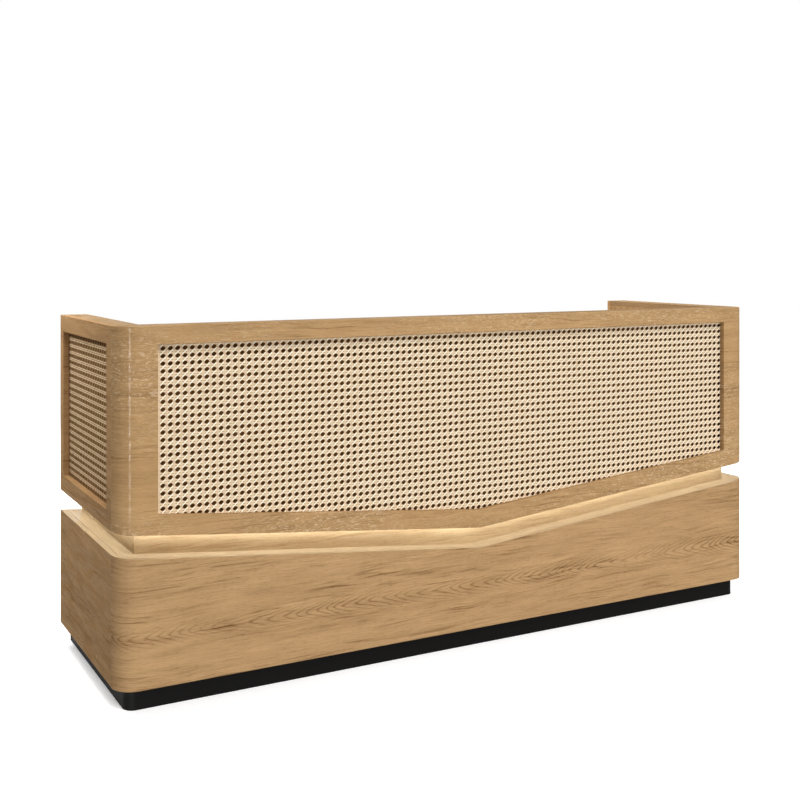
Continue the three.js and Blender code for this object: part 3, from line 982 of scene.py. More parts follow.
@dataclass(frozen=True)
class OakFinish(Finish):
    """Lacquered oak veneer."""

    pale: Colour
    deep: Colour
    figure: float
    streaks: float = 0.6
    glint_flecks: float = 0.0
    coat: float = 0.04
    source: GrainSource = GrainSource.MAP
    coat_roughness: float = 0.15
    bump: Pair = (0.35, 0.0004)

    def grain(self, graph: Graph) -> Socket:
        """Read the place along and across the grain.

        Args:
            graph: The material's graph.

        Returns:
            The place in the veneer.
        """
        if self.source is GrainSource.MAP:
            return graph.add("ShaderNodeUVMap", uv_map=GRAIN_MAP).outputs["UV"]
        x, y, z = graph.parts(graph.place())
        return graph.flat(x, graph.math("ADD", y, z))

    def material(self, figure: Tree) -> Material:
        """Make the material.

        Args:
            figure: The group that draws the figure.

        Returns:
            The finish as a node material.
        """
        material, graph, shader = new_material(self.name)
        inputs = {"Grain": self.grain(graph), "Pale": self.pale, "Deep": self.deep}
        inputs |= {"Figure": self.figure, "Streaks": self.streaks, "GlintFlecks": self.glint_flecks}
        wood = graph.add("ShaderNodeGroup", inputs, node_tree=figure).outputs
        graph.feed(shader, {
            "Base Color": wood["Color"],
            "Roughness": wood["Roughness"],
            "Normal": graph.bump(wood["Height"], *self.bump),
            "Coat Weight": graph.times(wood["Lacquer"], self.coat) if self.coat else 0.0,
            "Coat Roughness": self.coat_roughness,
            "Specular IOR Level": 0.0,
        })
        return material


class StrandRun(Enum):
    """The way in which cane strands run, as the stretch of their fibres along X, Y and Z."""

    UPRIGHT = (1500.0, 1500.0, 60.0)
    LEVEL = (60.0, 1500.0, 1500.0)
    LEVEL_DEEP = (1500.0, 60.0, 1500.0)
    SLANTED = (700.0, 700.0, 700.0)


@dataclass(frozen=True)
class CaneFinish(Finish):
    """Split cane."""

    run: StrandRun
    cream: Colour
    honey: Colour
    # Edge tone: partly the cane's own edge colour, partly painted shade between the strands.
    edge: Colour
    bump: Pair = (0.3, 0.0001)

    def material(self, skin: Tree) -> Material:
        """Make the material.

        Args:
            skin: The group that draws the skin of the cane.

        Returns:
            The finish as a node material.
        """
        material, graph, shader = new_material(self.name)
        place = graph.place()
        inputs = {"Fibre": graph.stretch(place, self.run.value), "Place": place}
        inputs["Ridge"] = graph.add("ShaderNodeAttribute", attribute_name=RIDGE).outputs["Fac"]
        inputs |= {"Cream": self.cream, "Honey": self.honey, "Edge": self.edge}
        strand = graph.add("ShaderNodeGroup", inputs, node_tree=skin).outputs
        graph.feed(shader, {
            "Base Color": strand["Color"],
            "Roughness": strand["Roughness"],
            "Normal": graph.bump(strand["Height"], *self.bump),
            "Specular IOR Level": 0.0,
        })
        return material


@dataclass(frozen=True)
class SatinFinish(Finish):
    """A sprayed or moulded surface with a fine texture: laminate, plastic, painted metal or steel."""

    shade: Colour
    light_shade: Colour
    roughness: Pair
    metallic: float = 0.0
    grit: float = 900.0
    grit_depth: float = 0.0001
    grit_strength: float = 0.25
    stretch: Point = (1.0, 1.0, 1.0)
    specular: float = 0.5
    mottle_reach: Pair = (0.3, 0.7)

    def material(self, speckle: Tree) -> Material:
        """Make the material.

        Args:
            speckle: The group that draws the texture.

        Returns:
            The finish as a node material.
        """
        material, graph, shader = new_material(self.name)
        inputs = {"Place": graph.stretch(graph.place(), self.stretch), "Scale": self.grit}
        texture = graph.add("ShaderNodeGroup", inputs, node_tree=speckle).outputs
        mottle = texture["Mottle"]
        graph.feed(shader, {
            "Base Color": graph.blend(mottle, self.shade, self.light_shade),
            "Roughness": graph.span(mottle, *self.mottle_reach, self.roughness),
            "Metallic": self.metallic,
            "Specular IOR Level": self.specular,
            "Normal": graph.bump(texture["Height"], self.grit_strength, self.grit_depth),
        })
        return material


@dataclass(frozen=True)
class GlowFinish(Finish):
    """Milky cover over a row of white lamps."""

    bright: Colour
    dim: Colour
    lamp_pitch: float
    strength: float
    roughness: float = 0.45

    def material(self) -> Material:
        """Make the material.

        Returns:
            The finish as a node material.
        """
        material, graph, shader = new_material(self.name)
        x, y, _ = graph.parts(graph.place())
        beat = graph.math("COSINE", graph.times(graph.math("ADD", x, y), math.tau / self.lamp_pitch))
        colour = graph.blend(graph.math("MULTIPLY_ADD", beat, 0.5, 0.5), self.dim, self.bright)
        graph.feed(shader, {
            "Base Color": colour,
            "Emission Color": colour,
            "Emission Strength": self.strength,
            "Roughness": self.roughness,
        })
        return material


OAK_TONES = (linear(199, 162, 117), linear(114, 80, 48))
FRAME_TONES = (linear(196, 159, 112), linear(120, 85, 51))
# Painted shade: a slightly darker, warmer copy of the oak tones for the side faces, standing in for their
# warm shade.
SHADED_SIDE_TONES = (linear(195, 156, 110), linear(114, 79, 47))
CAP_TONES = (linear(174, 145, 107), linear(108, 78, 48))
PALE_TONES = (linear(222, 190, 148), linear(168, 130, 90))
LEDGE_TONES = (linear(166, 144, 111), linear(134, 111, 82))
# Painted light: paler tones on the channel's back wall, standing in for the wash of the light strips.
PAINTED_LIGHT_TONES = (linear(200, 175, 134), linear(146, 110, 72))
# Painted shade: dark tones on the core's face behind the cane, standing in for the shaded cavity seen
# through the gaps.
PAINTED_SHADE_TONES = (linear(124, 84, 44), linear(94, 62, 32))
# The third tone of each cane set is its edge tone, partly painted shade between the strands.
STRAND_TONES = (linear(236, 214, 181), linear(222, 195, 158), linear(190, 154, 112))
# Painted highlight: the slanted strands are lighter than the others, standing in for the highlights along
# the rising strands.
HIGHLIT_SLANT_TONES = (linear(255, 251, 236), linear(255, 238, 206), linear(204, 160, 112))
# Painted shade and light on the side panels: warmer copies of the cane, with uprights and slants darkened as
# if in shade and levels lightened as if lit.
SHADED_SIDE_UPRIGHT_TONES = (linear(172, 132, 90), linear(152, 114, 76), linear(104, 72, 42))
LIT_SIDE_LEVEL_TONES = (linear(255, 232, 194), linear(246, 208, 158), linear(160, 112, 68))
SHADED_SIDE_SLANT_TONES = (linear(228, 186, 138), linear(208, 164, 114), linear(122, 86, 52))
LAMP_TONES = (linear(246, 251, 255), linear(240, 247, 255))


class Timber(Enum):
    """The veneers of the desk."""

    FRONT = OakFinish("oak_veneer", "oak", *OAK_TONES, figure=1.0, streaks=0.85)
    BOARD = OakFinish("board_veneer", "oak", *OAK_TONES, figure=0.7, streaks=0.5)
    # The frame carries the fleck marks that are partly painted glints.
    FRAME = OakFinish("frame_veneer", "oak", *FRAME_TONES, figure=0.0, streaks=0.7, glint_flecks=0.45)
    # The side faces take the copy of the oak with painted shade.
    SIDE = OakFinish("side_veneer", "oak", *SHADED_SIDE_TONES, figure=0.3)
    CAP = OakFinish("cap_veneer", "oak", *CAP_TONES, figure=0.0, coat=0.06)
    PALE = OakFinish("pale_veneer", "pale_oak", *PALE_TONES, figure=0.5, coat=0.2)
    LEDGE = OakFinish("ledge_veneer", "pale_oak", *LEDGE_TONES, figure=0.5, coat=0.3)
    # Painted shade of the cavity behind the cane.
    STAIN = OakFinish("oak_painted_shade", "oak", *PAINTED_SHADE_TONES, figure=0.5, coat=0.0)
    # Painted light of the strips on the channel's back wall.
    LINING = OakFinish("channel_wall_painted_light", "oak", *PAINTED_LIGHT_TONES, figure=0.3, coat=0.0)
    CARCASS = OakFinish("oak_carcass", "oak", *OAK_TONES, figure=0.6, source=GrainSource.PLACE)
    SOFFIT = OakFinish("soffit_veneer", "oak", *LEDGE_TONES, figure=0.4, source=GrainSource.PLACE)


class Cane(Enum):
    """The strands of the front panel and of the side panels, whose copies carry painted shade and painted
    light.
    """

    UPRIGHT = CaneFinish("cane_upright", "cane", StrandRun.UPRIGHT, *STRAND_TONES)
    LEVEL = CaneFinish("cane_level", "cane", StrandRun.LEVEL, *STRAND_TONES)
    # The slanted strands carry painted highlight tones.
    SLANTED = CaneFinish("cane_slanted", "cane", StrandRun.SLANTED, *HIGHLIT_SLANT_TONES)
    # Side copies of the cane, with painted shade and painted light.
    SIDE_UPRIGHT = CaneFinish("side_cane_upright", "cane", StrandRun.UPRIGHT, *SHADED_SIDE_UPRIGHT_TONES)
    SIDE_LEVEL = CaneFinish("side_cane_level_deep", "cane", StrandRun.LEVEL_DEEP, *LIT_SIDE_LEVEL_TONES)
    SIDE_SLANTED = CaneFinish("side_cane_slanted", "cane", StrandRun.SLANTED, *SHADED_SIDE_SLANT_TONES)


class Satin(Enum):
    """The laminate, plastic and metal of the desk."""

    PLINTH = SatinFinish(
        "black_laminate", "plinth", linear(9, 8, 8), linear(14, 13, 12), (0.5, 0.62), specular=0.06
    )
    PLASTIC = SatinFinish(
        "black_plastic", "black_plastic", linear(20, 20, 21), linear(32, 32, 33), (0.38, 0.5), grit=1600.0
    )
    KNOB = SatinFinish(
        "black_powder_coat", "knob", linear(24, 23, 22), linear(38, 36, 34), (0.4, 0.55),
        metallic=0.3, grit=2200.0,
    )
    STEEL = SatinFinish(
        "brushed_steel", "steel", linear(176, 179, 183), linear(205, 207, 210), (0.28, 0.42),
        metallic=1.0, grit=260.0, grit_depth=0.00006, stretch=(6.0, 0.25, 6.0),
    )
    CASE = SatinFinish(
        "painted_case", "driver", linear(168, 172, 174), linear(190, 193, 195), (0.4, 0.55), metallic=0.2
    )


class Finishes:
    """All finishes of the desk, each made once."""

    def __init__(self) -> None:
        """Build the shared groups and the materials."""
        groups = {Timber: OakFigure().build(), Cane: CaneSkin().build(), Satin: Speckle().build()}
        self.made = {look: look.value.material(group) for kind, group in groups.items() for look in kind}
        light = GlowFinish("channel_light", "light", *LAMP_TONES, lamp_pitch=0.0125, strength=16.5)
        self.light = light.material()

    def __getitem__(self, look: Timber | Cane | Satin) -> Material:
        """Give the material of a look."""
        return self.made[look]

    def dress(self, piece: Piece, look: Timber | Cane | Satin, node: str, body: str = "desk") -> Piece:
        """Give a piece its finish, its body, and the solid that it stands for.

        Args:
            piece: The finished mesh.
            look: Its finish.
            node: The solid that it replaces.
            body: The body that carries it.

        Returns:
            The piece.
        """
        piece.data.materials.clear()
        piece.data.materials.append(self[look])
        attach(piece, body)
        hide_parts(node)
        log.info("%s: %d faces on %s", piece.name, len(piece.data.polygons), body)
        return piece


def dress_solids(nodes: Sequence[str], material: Material) -> None:
    """Keep solids whose shape is right, and give them their finish.

    Args:
        nodes: Names of the solids.
        material: Their material.
    """
    for node in nodes:
        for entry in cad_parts[node].material_slots:
            entry.material = material
        log.info("%s: kept", node)


def finished(node: str) -> str:
    """Name the finished piece of a solid."""
    return f"finished_{node}"


@dataclass(frozen=True)
class Cut:
    """How a board is cut from its veneer: the way of the grain, and the start along and across it."""

    run: GrainRun
    start: Pair
    timber: Timber = Timber.BOARD


CUTS = {
    "core_front": Cut(GrainRun.ACROSS, (0.37, 0.21)),
    "core_left": Cut(GrainRun.DEEP, (1.73, 0.45)),
    "core_right": Cut(GrainRun.DEEP, (2.91, 0.83)),
    "lower_front_skin": Cut(GrainRun.WRAPPED, (0.1, 0.168), Timber.FRONT),
    "lower_left_skin": Cut(GrainRun.DEEP, (2.3, 0.16), Timber.SIDE),
    "lower_right_skin": Cut(GrainRun.DEEP, (4.3, 0.16), Timber.SIDE),
    "upper_front_skin": Cut(GrainRun.WRAPPED, (7.4, 0.53), Timber.FRAME),
    "upper_left_skin": Cut(GrainRun.DEEP, (5.8, 0.17), Timber.SIDE),
    "upper_right_skin": Cut(GrainRun.DEEP, (7.8, 0.17), Timber.SIDE),
    "cap_front": Cut(GrainRun.ACROSS, (7.9, 0.14), Timber.CAP),
    "cap_left": Cut(GrainRun.DEEP, (8.6, 0.53), Timber.CAP),
    "cap_right": Cut(GrainRun.DEEP, (9.4, 0.77), Timber.CAP),
    "ledge_left": Cut(GrainRun.DEEP, (9.2, 0.2), Timber.LEDGE),
    "ledge_right": Cut(GrainRun.DEEP, (11.2, 0.2), Timber.LEDGE),
    "ledge_front_left": Cut(GrainRun.ACROSS, (11.3, 0.4), Timber.LEDGE),
    "ledge_front_right": Cut(GrainRun.ACROSS, (13.3, 0.4), Timber.LEDGE),
    "worktop": Cut(GrainRun.ACROSS, (14.6, 0.9), Timber.PALE),
    "partition_left": Cut(GrainRun.DEEP, (16.1, 0.11)),
    "partition_right": Cut(GrainRun.DEEP, (17.2, 0.66)),
    "upper_drawer_face": Cut(GrainRun.ACROSS, (18.9, 0.35)),
    "lower_drawer_face": Cut(GrainRun.ACROSS, (18.9, 0.35)),
    "upper_drawer_box": Cut(GrainRun.DEEP, (20.4, 0.5), Timber.PALE),
    "lower_drawer_box": Cut(GrainRun.DEEP, (21.4, 0.5), Timber.PALE),
    "cupboard_shelf": Cut(GrainRun.ACROSS, (23.1, 0.25), Timber.PALE),
    "cupboard_door": Cut(GrainRun.ACROSS, (24.5, 0.35)),
}


@dataclass
class BoardShop:
    """Makes the straight boards of the desk from the boxes of their solids."""

    plan: DeskPlan
    finishes: Finishes
    edge: float = 0.0012

    def blank(self, node: str, low: Vector, high: Vector, corner: float = 0.0) -> Piece:
        """Cut the block that a board is made from.

        Args:
            node: The solid of the board.
            low: Lowest corner.
            high: Highest corner.
            corner: Radius of its outer front corners, or 0 for square ones.

        Returns:
            The block.
        """
        if corner:
            return add_rounded(finished(node), low, high, corner, self.plan.at_outer_corner)
        return add_block(finished(node), low, high)

    def board(self, node: str, body: str = "desk", corner: float = 0.0) -> Piece:
        """Make a straight board with softened edges in the place of a solid.

        Args:
            node: The solid.
            body: The body that carries it.
            corner: Radius of its outer front corners, or 0 for square ones.

        Returns:
            The board.
        """
        piece = self.blank(node, *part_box(node), corner)
        soften(piece, self.edge)
        return self.veneer(piece, node, body)

    def veneer(self, piece: Piece, node: str, body: str = "desk") -> Piece:
        """Lay the grain on a wooden piece and dress it.

        Args:
            piece: The piece.
            node: The solid that it replaces.
            body: The body that carries it.

        Returns:
            The piece.
        """
        cut = CUTS[node]
        lay_grain(piece, self.plan, cut.run, cut.start)
        return self.finishes.dress(piece, cut.timber, node, body)


# Sub-assemblies


@dataclass
class Assembly:
    """A sub-assembly of the desk, with the shop that makes its boards."""

    shop: BoardShop

    @property
    def plan(self) -> DeskPlan:
        """Shared sizes."""
        return self.shop.plan

    @property
    def finishes(self) -> Finishes:
        """Finishes of the desk."""
        return self.shop.finishes


@dataclass
class Plinth(Assembly):
    """Black plinth under the walls, and the toe boards under the cabinets."""

    edge: float = 0.001
    corner_steps: int = 12

    def build(self) -> None:
        """Build and dress the plinth."""
        low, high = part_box("plinth_front")
        side_low, side_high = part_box("plinth_left")
        inset = self.plan.half_width - high.x
        insets = (inset, inset + side_high.x - side_low.x)
        name = finished("plinth_front")
        self.finish(front_band(name, self.plan, insets, (low.z, high.z), self.corner_steps), "plinth_front")
        for node in ("plinth_left", "plinth_right", "toe_board_left", "toe_board_right"):
            self.finish(self.shop.blank(node, *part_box(node)), node)

    def finish(self, piece: Piece, node: str) -> None:
        """Soften a board's edges, except at the seam of front and side, and dress it."""
        soften(piece, self.edge, leave=self.plan.at_seam)
        self.finishes.dress(piece, Satin.PLINTH, node)


@dataclass
class CoreWalls(Assembly):
    """Core panels behind both casings: back wall of the channel, painted paler where the strips' light
    falls, and painted dark behind the cane where the cavity lies in shade.
    """

    painted_shade_start: float = 0.009
    outer_facing: float = 0.3

    def build(self) -> None:
        """Build and dress the panels, and dress the boards that they stand on."""
        to_front = Vector((0, -1, 0))
        to_left = Vector((-1, 0, 0))
        to_right = Vector((1, 0, 0))
        self.panel("core_front", (LEFT, RIGHT), (to_front, to_left, to_right))
        self.panel("core_left", (LEFT,), (to_left,))
        self.panel("core_right", (RIGHT,), (to_right,))
        dress_solids(("base_left", "base_front", "base_right"), self.finishes[Timber.CARCASS])

    def panel(self, node: str, signs: Sequence[float], outward: Sequence[Vector]) -> None:
        """Make a panel whose outer faces carry painted shade behind the cane and painted light in the
        channel.

        Args:
            node: The solid of the panel.
            signs: The slopes that bound the painted shade.
            outward: Directions of the outer faces.
        """
        piece = self.shop.board(node)
        slope = self.plan.slope
        middle = self.plan.soffit_middle + self.painted_shade_start
        with editing(piece):
            for sign in signs:
                bpy.ops.mesh.select_all(action="SELECT")
                bpy.ops.mesh.bisect(plane_co=(0, 0, middle), plane_no=(-sign * slope, 0, 1))
        # Outer faces above the soffit line take the painted shade, those below take the painted light of the
        # channel wall.
        plain, shaded_face, lit_face = range(3)
        for look in (Timber.STAIN, Timber.LINING):
            piece.data.materials.append(self.finishes[look])
        for face in piece.data.polygons:
            outer = any(face.normal.dot(way) > self.outer_facing for way in outward)
            above = face.center.z > middle + slope * abs(face.center.x)
            face.material_index = (shaded_face if above else lit_face) if outer else plain


@dataclass
class Skins(Assembly):
    """What the lower and the upper casing share: a front skin and two side skins with rear returns."""

    edge: float = 0.0018
    edge_steps: int = 3
    corner_steps: int = 16

    def front_blank(self, node: str) -> Piece:
        """Bend the strip that a front skin is cut from.

        Args:
            node: The solid of the skin.

        Returns:
            The strip.
        """
        low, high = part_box(node)
        insets = (0.0, self.plan.board)
        return front_band(finished(node), self.plan, insets, (low.z, high.z), self.corner_steps)

    def side_blank(self, node: str, sign: float) -> Piece:
        """Make the board of a side skin with its return round the rear end of the wing.

        Args:
            node: The solid of the skin.
            sign: The side of the desk.

        Returns:
            The board.
        """
        plan = self.plan
        low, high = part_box(node)
        outside = sign * plan.half_width
        inside = sign * (plan.half_width - plan.board)
        rear_start = plan.rear - plan.board

        def is_return(face: bmesh.types.BMFace) -> bool:
            """Tell whether the return grows out of a face."""
            return -sign * face.normal.x > FACING and face.calc_center_median().y > rear_start

        piece = add_block(finished(node), (outside, low.y, low.z), (inside, high.y, high.z))
        with editing(piece):
            bpy.ops.mesh.bisect(plane_co=(0, rear_start, 0), plane_no=(0, 1, 0))
            pick(piece, MeshPart.FACE, is_return)
            extrude((sign * plan.inner_x - inside, 0, 0))
        close_up(piece)
        return piece

    def finish(self, piece: Piece, node: str) -> None:
        """Soften a skin's edges, except at the seam of front and side, and veneer it."""
        soften(piece, self.edge, self.edge_steps, self.plan.at_seam)
        self.shop.veneer(piece, node)


@dataclass
class LowerCasing(Skins):
    """Skins below the channel, with their top edges on the channel's slope."""

    clearance: float = 0.05
    edge_slope: float = 0.5

    def build(self) -> None:
        """Build and dress the lower skins."""
        plan = self.plan
        front = self.front_blank("lower_front_skin")
        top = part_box("lower_front_skin")[1].z + self.clearance
        reach = plan.half_width + self.clearance
        waste = add_block(
            "waste",
            (-reach, plan.front - self.clearance, plan.ledge_middle - self.clearance),
            (reach, plan.rear, top),
        )
        saw_slope(waste, plan, plan.ledge_middle, Keep.ABOVE)
        carve(front, waste)
        self.finish(front, "lower_front_skin")
        self.band(front)
        for side, sign in SIDES.items():
            node = f"lower_{side}_skin"
            skin = self.side_blank(node, sign)
            saw_slope(skin, plan, plan.ledge_middle, Keep.BELOW, (sign,))
            self.finish(skin, node)
            self.band(skin)

    def band(self, piece: Piece) -> None:
        """Face the top edge of a skin with the veneer of the ledge.

        Args:
            piece: The skin.
        """
        piece.data.materials.append(self.finishes[Timber.LEDGE])
        for face in piece.data.polygons:
            face.material_index = int(face.normal.z > self.edge_slope)


@dataclass
class UpperCasing(Skins):
    """Frames round the cane above the channel, and the caps on top."""

    cane_margin: float = 0.02
    rear_stile: float = 0.038
    cut_reach: float = 0.02
    cap_gap: float = 0.0003

    def front_opening(self) -> Piece:
        """Make the cutter for the front opening.

        Returns:
            The cutter, cut to the channel's slope at its bottom.
        """
        plan = self.plan
        low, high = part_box("cane_front")
        half = high.x - self.cane_margin
        bottom = low.z + self.cane_margin
        back = plan.front + plan.board + self.cut_reach
        cutter = add_block(
            "waste",
            (-half, plan.front - self.cut_reach, bottom - self.cut_reach),
            (half, back, high.z - self.cane_margin),
        )
        saw_slope(cutter, plan, bottom, Keep.ABOVE)
        return cutter

    def side_opening(self, side: str, sign: float) -> Piece:
        """Make the cutter for a side opening.

        Args:
            side: Name of the side.
            sign: The side of the desk.

        Returns:
            The cutter.
        """
        plan = self.plan
        low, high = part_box(f"cane_{side}")
        outside = sign * (plan.half_width + self.cut_reach)
        inside = sign * (plan.half_width - plan.board - self.cut_reach)
        return add_block(
            "waste",
            (outside, low.y + self.cane_margin, low.z + self.cane_margin),
            (inside, plan.rear - self.rear_stile, high.z - self.cane_margin),
        )

    def build(self) -> None:
        """Build and dress the upper skins and the caps."""
        plan = self.plan
        front = self.front_blank("upper_front_skin")
        saw_slope(front, plan, plan.soffit_middle, Keep.ABOVE)
        carve(front, self.front_opening())
        self.finish(front, "upper_front_skin")
        for side, sign in SIDES.items():
            node = f"upper_{side}_skin"
            skin = self.side_blank(node, sign)
            saw_slope(skin, plan, plan.soffit_middle, Keep.ABOVE, (sign,))
            carve(skin, self.side_opening(side, sign))
            self.finish(skin, node)
        corner = plan.corner_radius - plan.board - self.cap_gap
        self.shop.board("cap_front", corner=corner)
        for side in SIDES:
            self.shop.board(f"cap_{side}")


@dataclass
class CanePanels(Assembly):
    """Woven cane: pairs of upright and level strands, and two sets of slanted ones through the gaps."""

    pitch: float = 0.020
    upright_offset: float = 0.00165
    level_offset: float = 0.0025
    upright_width: float = 0.0030
    level_width: float = 0.0042
    rising_width: float = 0.0036
    falling_width: float = 0.0017
    # Painted shade: the falling strands are drawn darker, as if lying in shadow.
    falling_painted_shade: float = 0.2
    strand_thickness: float = 0.0005
    swing: float = 0.0004
    hole_x: float = 0.0062
    hole_z: float = 0.0189
    edge_room: float = 0.001

    def unit(self, run: Point, width: float, swings: Sequence[float], shade: float = 1.0) -> Piece:
        """Model one pitch of a strand: a flat ring, extruded from swing to swing.

        The ring's points carry an attribute that tells the ridge of the strand from its edges, which the
        material draws darker, partly with painted shade.

        Args:
            run: From the start to the end of the pitch.
            width: Width of the strand, along Z for a level strand and along X otherwise.
            swings: Place in depth of each ring, from the first to the last.
            shade: Lightness of the ridge; below 1 it darkens the whole strand with painted shade.

        Returns:
            The open unit, starting at the origin.
        """
        clear_selection()
        turned = (0, 0, 0) if run[2] else (0, QUARTER_TURN, 0)
        bpy.ops.mesh.primitive_circle_add(
            vertices=4, radius=0.5, location=(0, swings[0], 0), rotation=turned
        )
        piece = begin("strand", (width, self.strand_thickness, 1.0))
        ridge = piece.data.attributes.new(RIDGE, "FLOAT", "POINT")
        for vertex, entry in zip(piece.data.vertices, ridge.data):
            entry.value = shade * (abs(vertex.co.y - swings[0]) > self.strand_thickness / 4)
        steps = len(swings) - 1
        with editing(piece):
            pick_all_edges()
            for here, there in pairwise(swings):
                extrude_edges((run[0] / steps, there - here, run[2] / steps))
        return piece

    def pairs(
        self, run: Point, width: float, swings: Sequence[float], apart: Point, counts: tuple[int, int]
    ) -> Piece:
        """Weave pairs of strands, with the first pair at the origin.

        Args:
            run: From the start to the end of a pitch.
            width: Width of a strand.
            swings: Places in depth of a pair's first strand. The second one mirrors them.
            apart: From the middle of a pair to its second strand.
            counts: Length of the strands in pitches, and number of pairs.

        Returns:
            The strands.
        """
        first = self.unit(run, width, swings)
        second = self.unit(run, width, [-swing for swing in swings])
        send(first, [-offset for offset in apart])
        send(second, apart)
        strands = join([first, second])
        array(strands, counts[0], run, True)
        array(strands, counts[1], [self.pitch if offset else 0.0 for offset in apart], False)
        return strands

    def slants(self, columns: int, rows: int) -> Piece:
        """Weave both sets of slanted strands through the middles of the sides of the gaps.

        Args:
            columns: Width of the panel in pitches.
            rows: Height of the panel in pitches.

        Returns:
            The strands, over the panel whose lowest crossing of pairs is at the origin.
        """
        sets = []
        # The falling set is darkened with painted shade.
        slants = ((1.0, self.rising_width, 1.0), (-1.0, self.falling_width, self.falling_painted_shade))
        for sign, width, shade in slants:
            swings = [sign * self.swing * side for side in (-1, 0, 1, 0, -1)]
            run = (sign * self.pitch, 0.0, self.pitch)
            strands = self.unit(run, width * math.sqrt(2), swings, shade)
            first = -rows if sign > 0 else 0
            send(strands, (self.pitch / 2 + first * self.pitch, 0, 0))
            array(strands, rows, run, True)
            array(strands, columns + rows, (self.pitch, 0, 0), False)
            sets.append(strands)
        return join(sets)

    def trim(self, piece: Piece, low: Vector, high: Vector, sloped: bool) -> None:
        """Trim strands in the front plane to the sheet that they belong to, and close their ends.

        Args:
            piece: The strands.
            low: Lowest corner of the sheet in X and Z.
            high: Highest corner of the sheet in X and Z.
            sloped: True where the lower edge follows the channel.
        """
        room = self.edge_room
        saw(piece, (low.x + room, 0, 0), (-1, 0, 0))
        saw(piece, (high.x - room, 0, 0), (1, 0, 0))
        saw(piece, (0, 0, high.z - room), (0, 0, 1))
        if sloped:
            saw_slope(piece, self.plan, low.z + room, Keep.ABOVE)
        else:
            saw(piece, (0, 0, low.z + room), (0, 0, -1))
        close_up(piece)
        focus(piece)
        bpy.ops.object.shade_smooth_by_angle(angle=STRAND_ANGLE)

    def first_crossing(self, edge: float, hole: float) -> float:
        """Find the last crossing of pairs before a panel's edge, from the middle of any gap."""
        return hole - self.pitch / 2 + self.pitch * math.floor((edge - hole + self.pitch / 2) / self.pitch)

    def weave(self, node: str, low: Vector, high: Vector, hole: Pair, sloped: bool) -> list[Piece]:
        """Weave the three sets of strands over a sheet that faces the customer.

        Args:
            node: The solid of the sheet.
            low: Lowest corner of the sheet in X and Z.
            high: Highest corner of the sheet in X and Z.
            hole: Place of one gap's middle in X and Z.
            sloped: True where the lower edge follows the channel.

        Returns:
            The uprights, the levels and the slanted strands.
        """
        pitch = self.pitch
        first_x = self.first_crossing(low.x, hole[0])
        first_z = self.first_crossing(low.z, hole[1])
        columns = math.ceil((high.x - first_x) / pitch) + 1
        rows = math.ceil((high.z - first_z) / pitch) + 1
        swing = self.swing
        sway = swing / 4
        sets = {
            "uprights": self.pairs(
                (0.0, 0.0, pitch), self.upright_width, (swing, 0, 0, 0, swing),
                (self.upright_offset, 0, 0), (rows, columns),
            ),
            "levels": self.pairs(
                (pitch, 0.0, 0.0), self.level_width, (sway, -sway, sway),
                (0, 0, self.level_offset), (columns, rows),
            ),
            "slants": self.slants(columns, rows),
        }
        for label, strands in sets.items():
            strands.name = f"{node}_{label}"
            send(strands, (first_x, 0, first_z))
            self.trim(strands, low, high, sloped)
        return list(sets.values())

    def build(self) -> None:
        """Weave, place and dress the three panels."""
        low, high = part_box("cane_front")
        sets = self.weave("cane_front", low, high, (self.hole_x, self.hole_z), True)
        for strands, look in zip(sets, (Cane.UPRIGHT, Cane.LEVEL, Cane.SLANTED)):
            send(strands, (0, (low.y + high.y) / 2, 0))
            self.finishes.dress(strands, look, "cane_front")
        for side in SIDES:
            node = f"cane_{side}"
            low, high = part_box(node)
            flat_low = Vector((low.y, 0, low.z))
            flat_high = Vector((high.y, 0, high.z))
            sets = self.weave(node, flat_low, flat_high, ((low.y + high.y) / 2, self.hole_z), False)
            # The side panels take the copies with painted shade on uprights and slants and painted light on
            # levels.
            for strands, look in zip(sets, (Cane.SIDE_UPRIGHT, Cane.SIDE_LEVEL, Cane.SIDE_SLANTED)):
                send(strands, ((low.x + high.x) / 2, 0, 0), (0, 0, QUARTER_TURN))
                self.finishes.dress(strands, look, node)


@dataclass
class LightChannel(Assembly):
    """Ledge boards, soffits and light strips of the channel, and the driver of the strips."""

    edge: float = 0.0006
    clearance: float = 0.01

    def build(self) -> None:
        """Build the ledges and dress the rest of the channel."""
        for side, sign in SIDES.items():
            self.ledge(f"ledge_{side}", sign)
            self.ledge(f"ledge_front_{side}", sign)
        places = ("front", *SIDES)
        dress_solids([f"soffit_{place}" for place in places], self.finishes[Timber.SOFFIT])
        dress_solids([f"light_strip_{place}" for place in places], self.finishes.light)
        dress_solids(("light_driver",), self.finishes[Satin.CASE])

    def ledge(self, node: str, sign: float) -> None:
        """Make a ledge board between two slopes.

        Args:
            node: The solid of the ledge.
            sign: The side of the desk.
        """
        plan = self.plan
        low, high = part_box(node)
        margin = Vector((0, 0, self.clearance))
        corner = plan.corner_radius - plan.half_width + max(abs(low.x), abs(high.x))
        piece = self.shop.blank(node, low - margin, high + margin, corner if corner > SEAM_TOLERANCE else 0)
        saw_slope(piece, plan, plan.ledge_middle, Keep.BELOW, (sign,))
        saw_slope(piece, plan, plan.ledge_middle - plan.board, Keep.ABOVE, (sign,))
        soften(piece, self.edge)
        self.shop.veneer(piece, node)


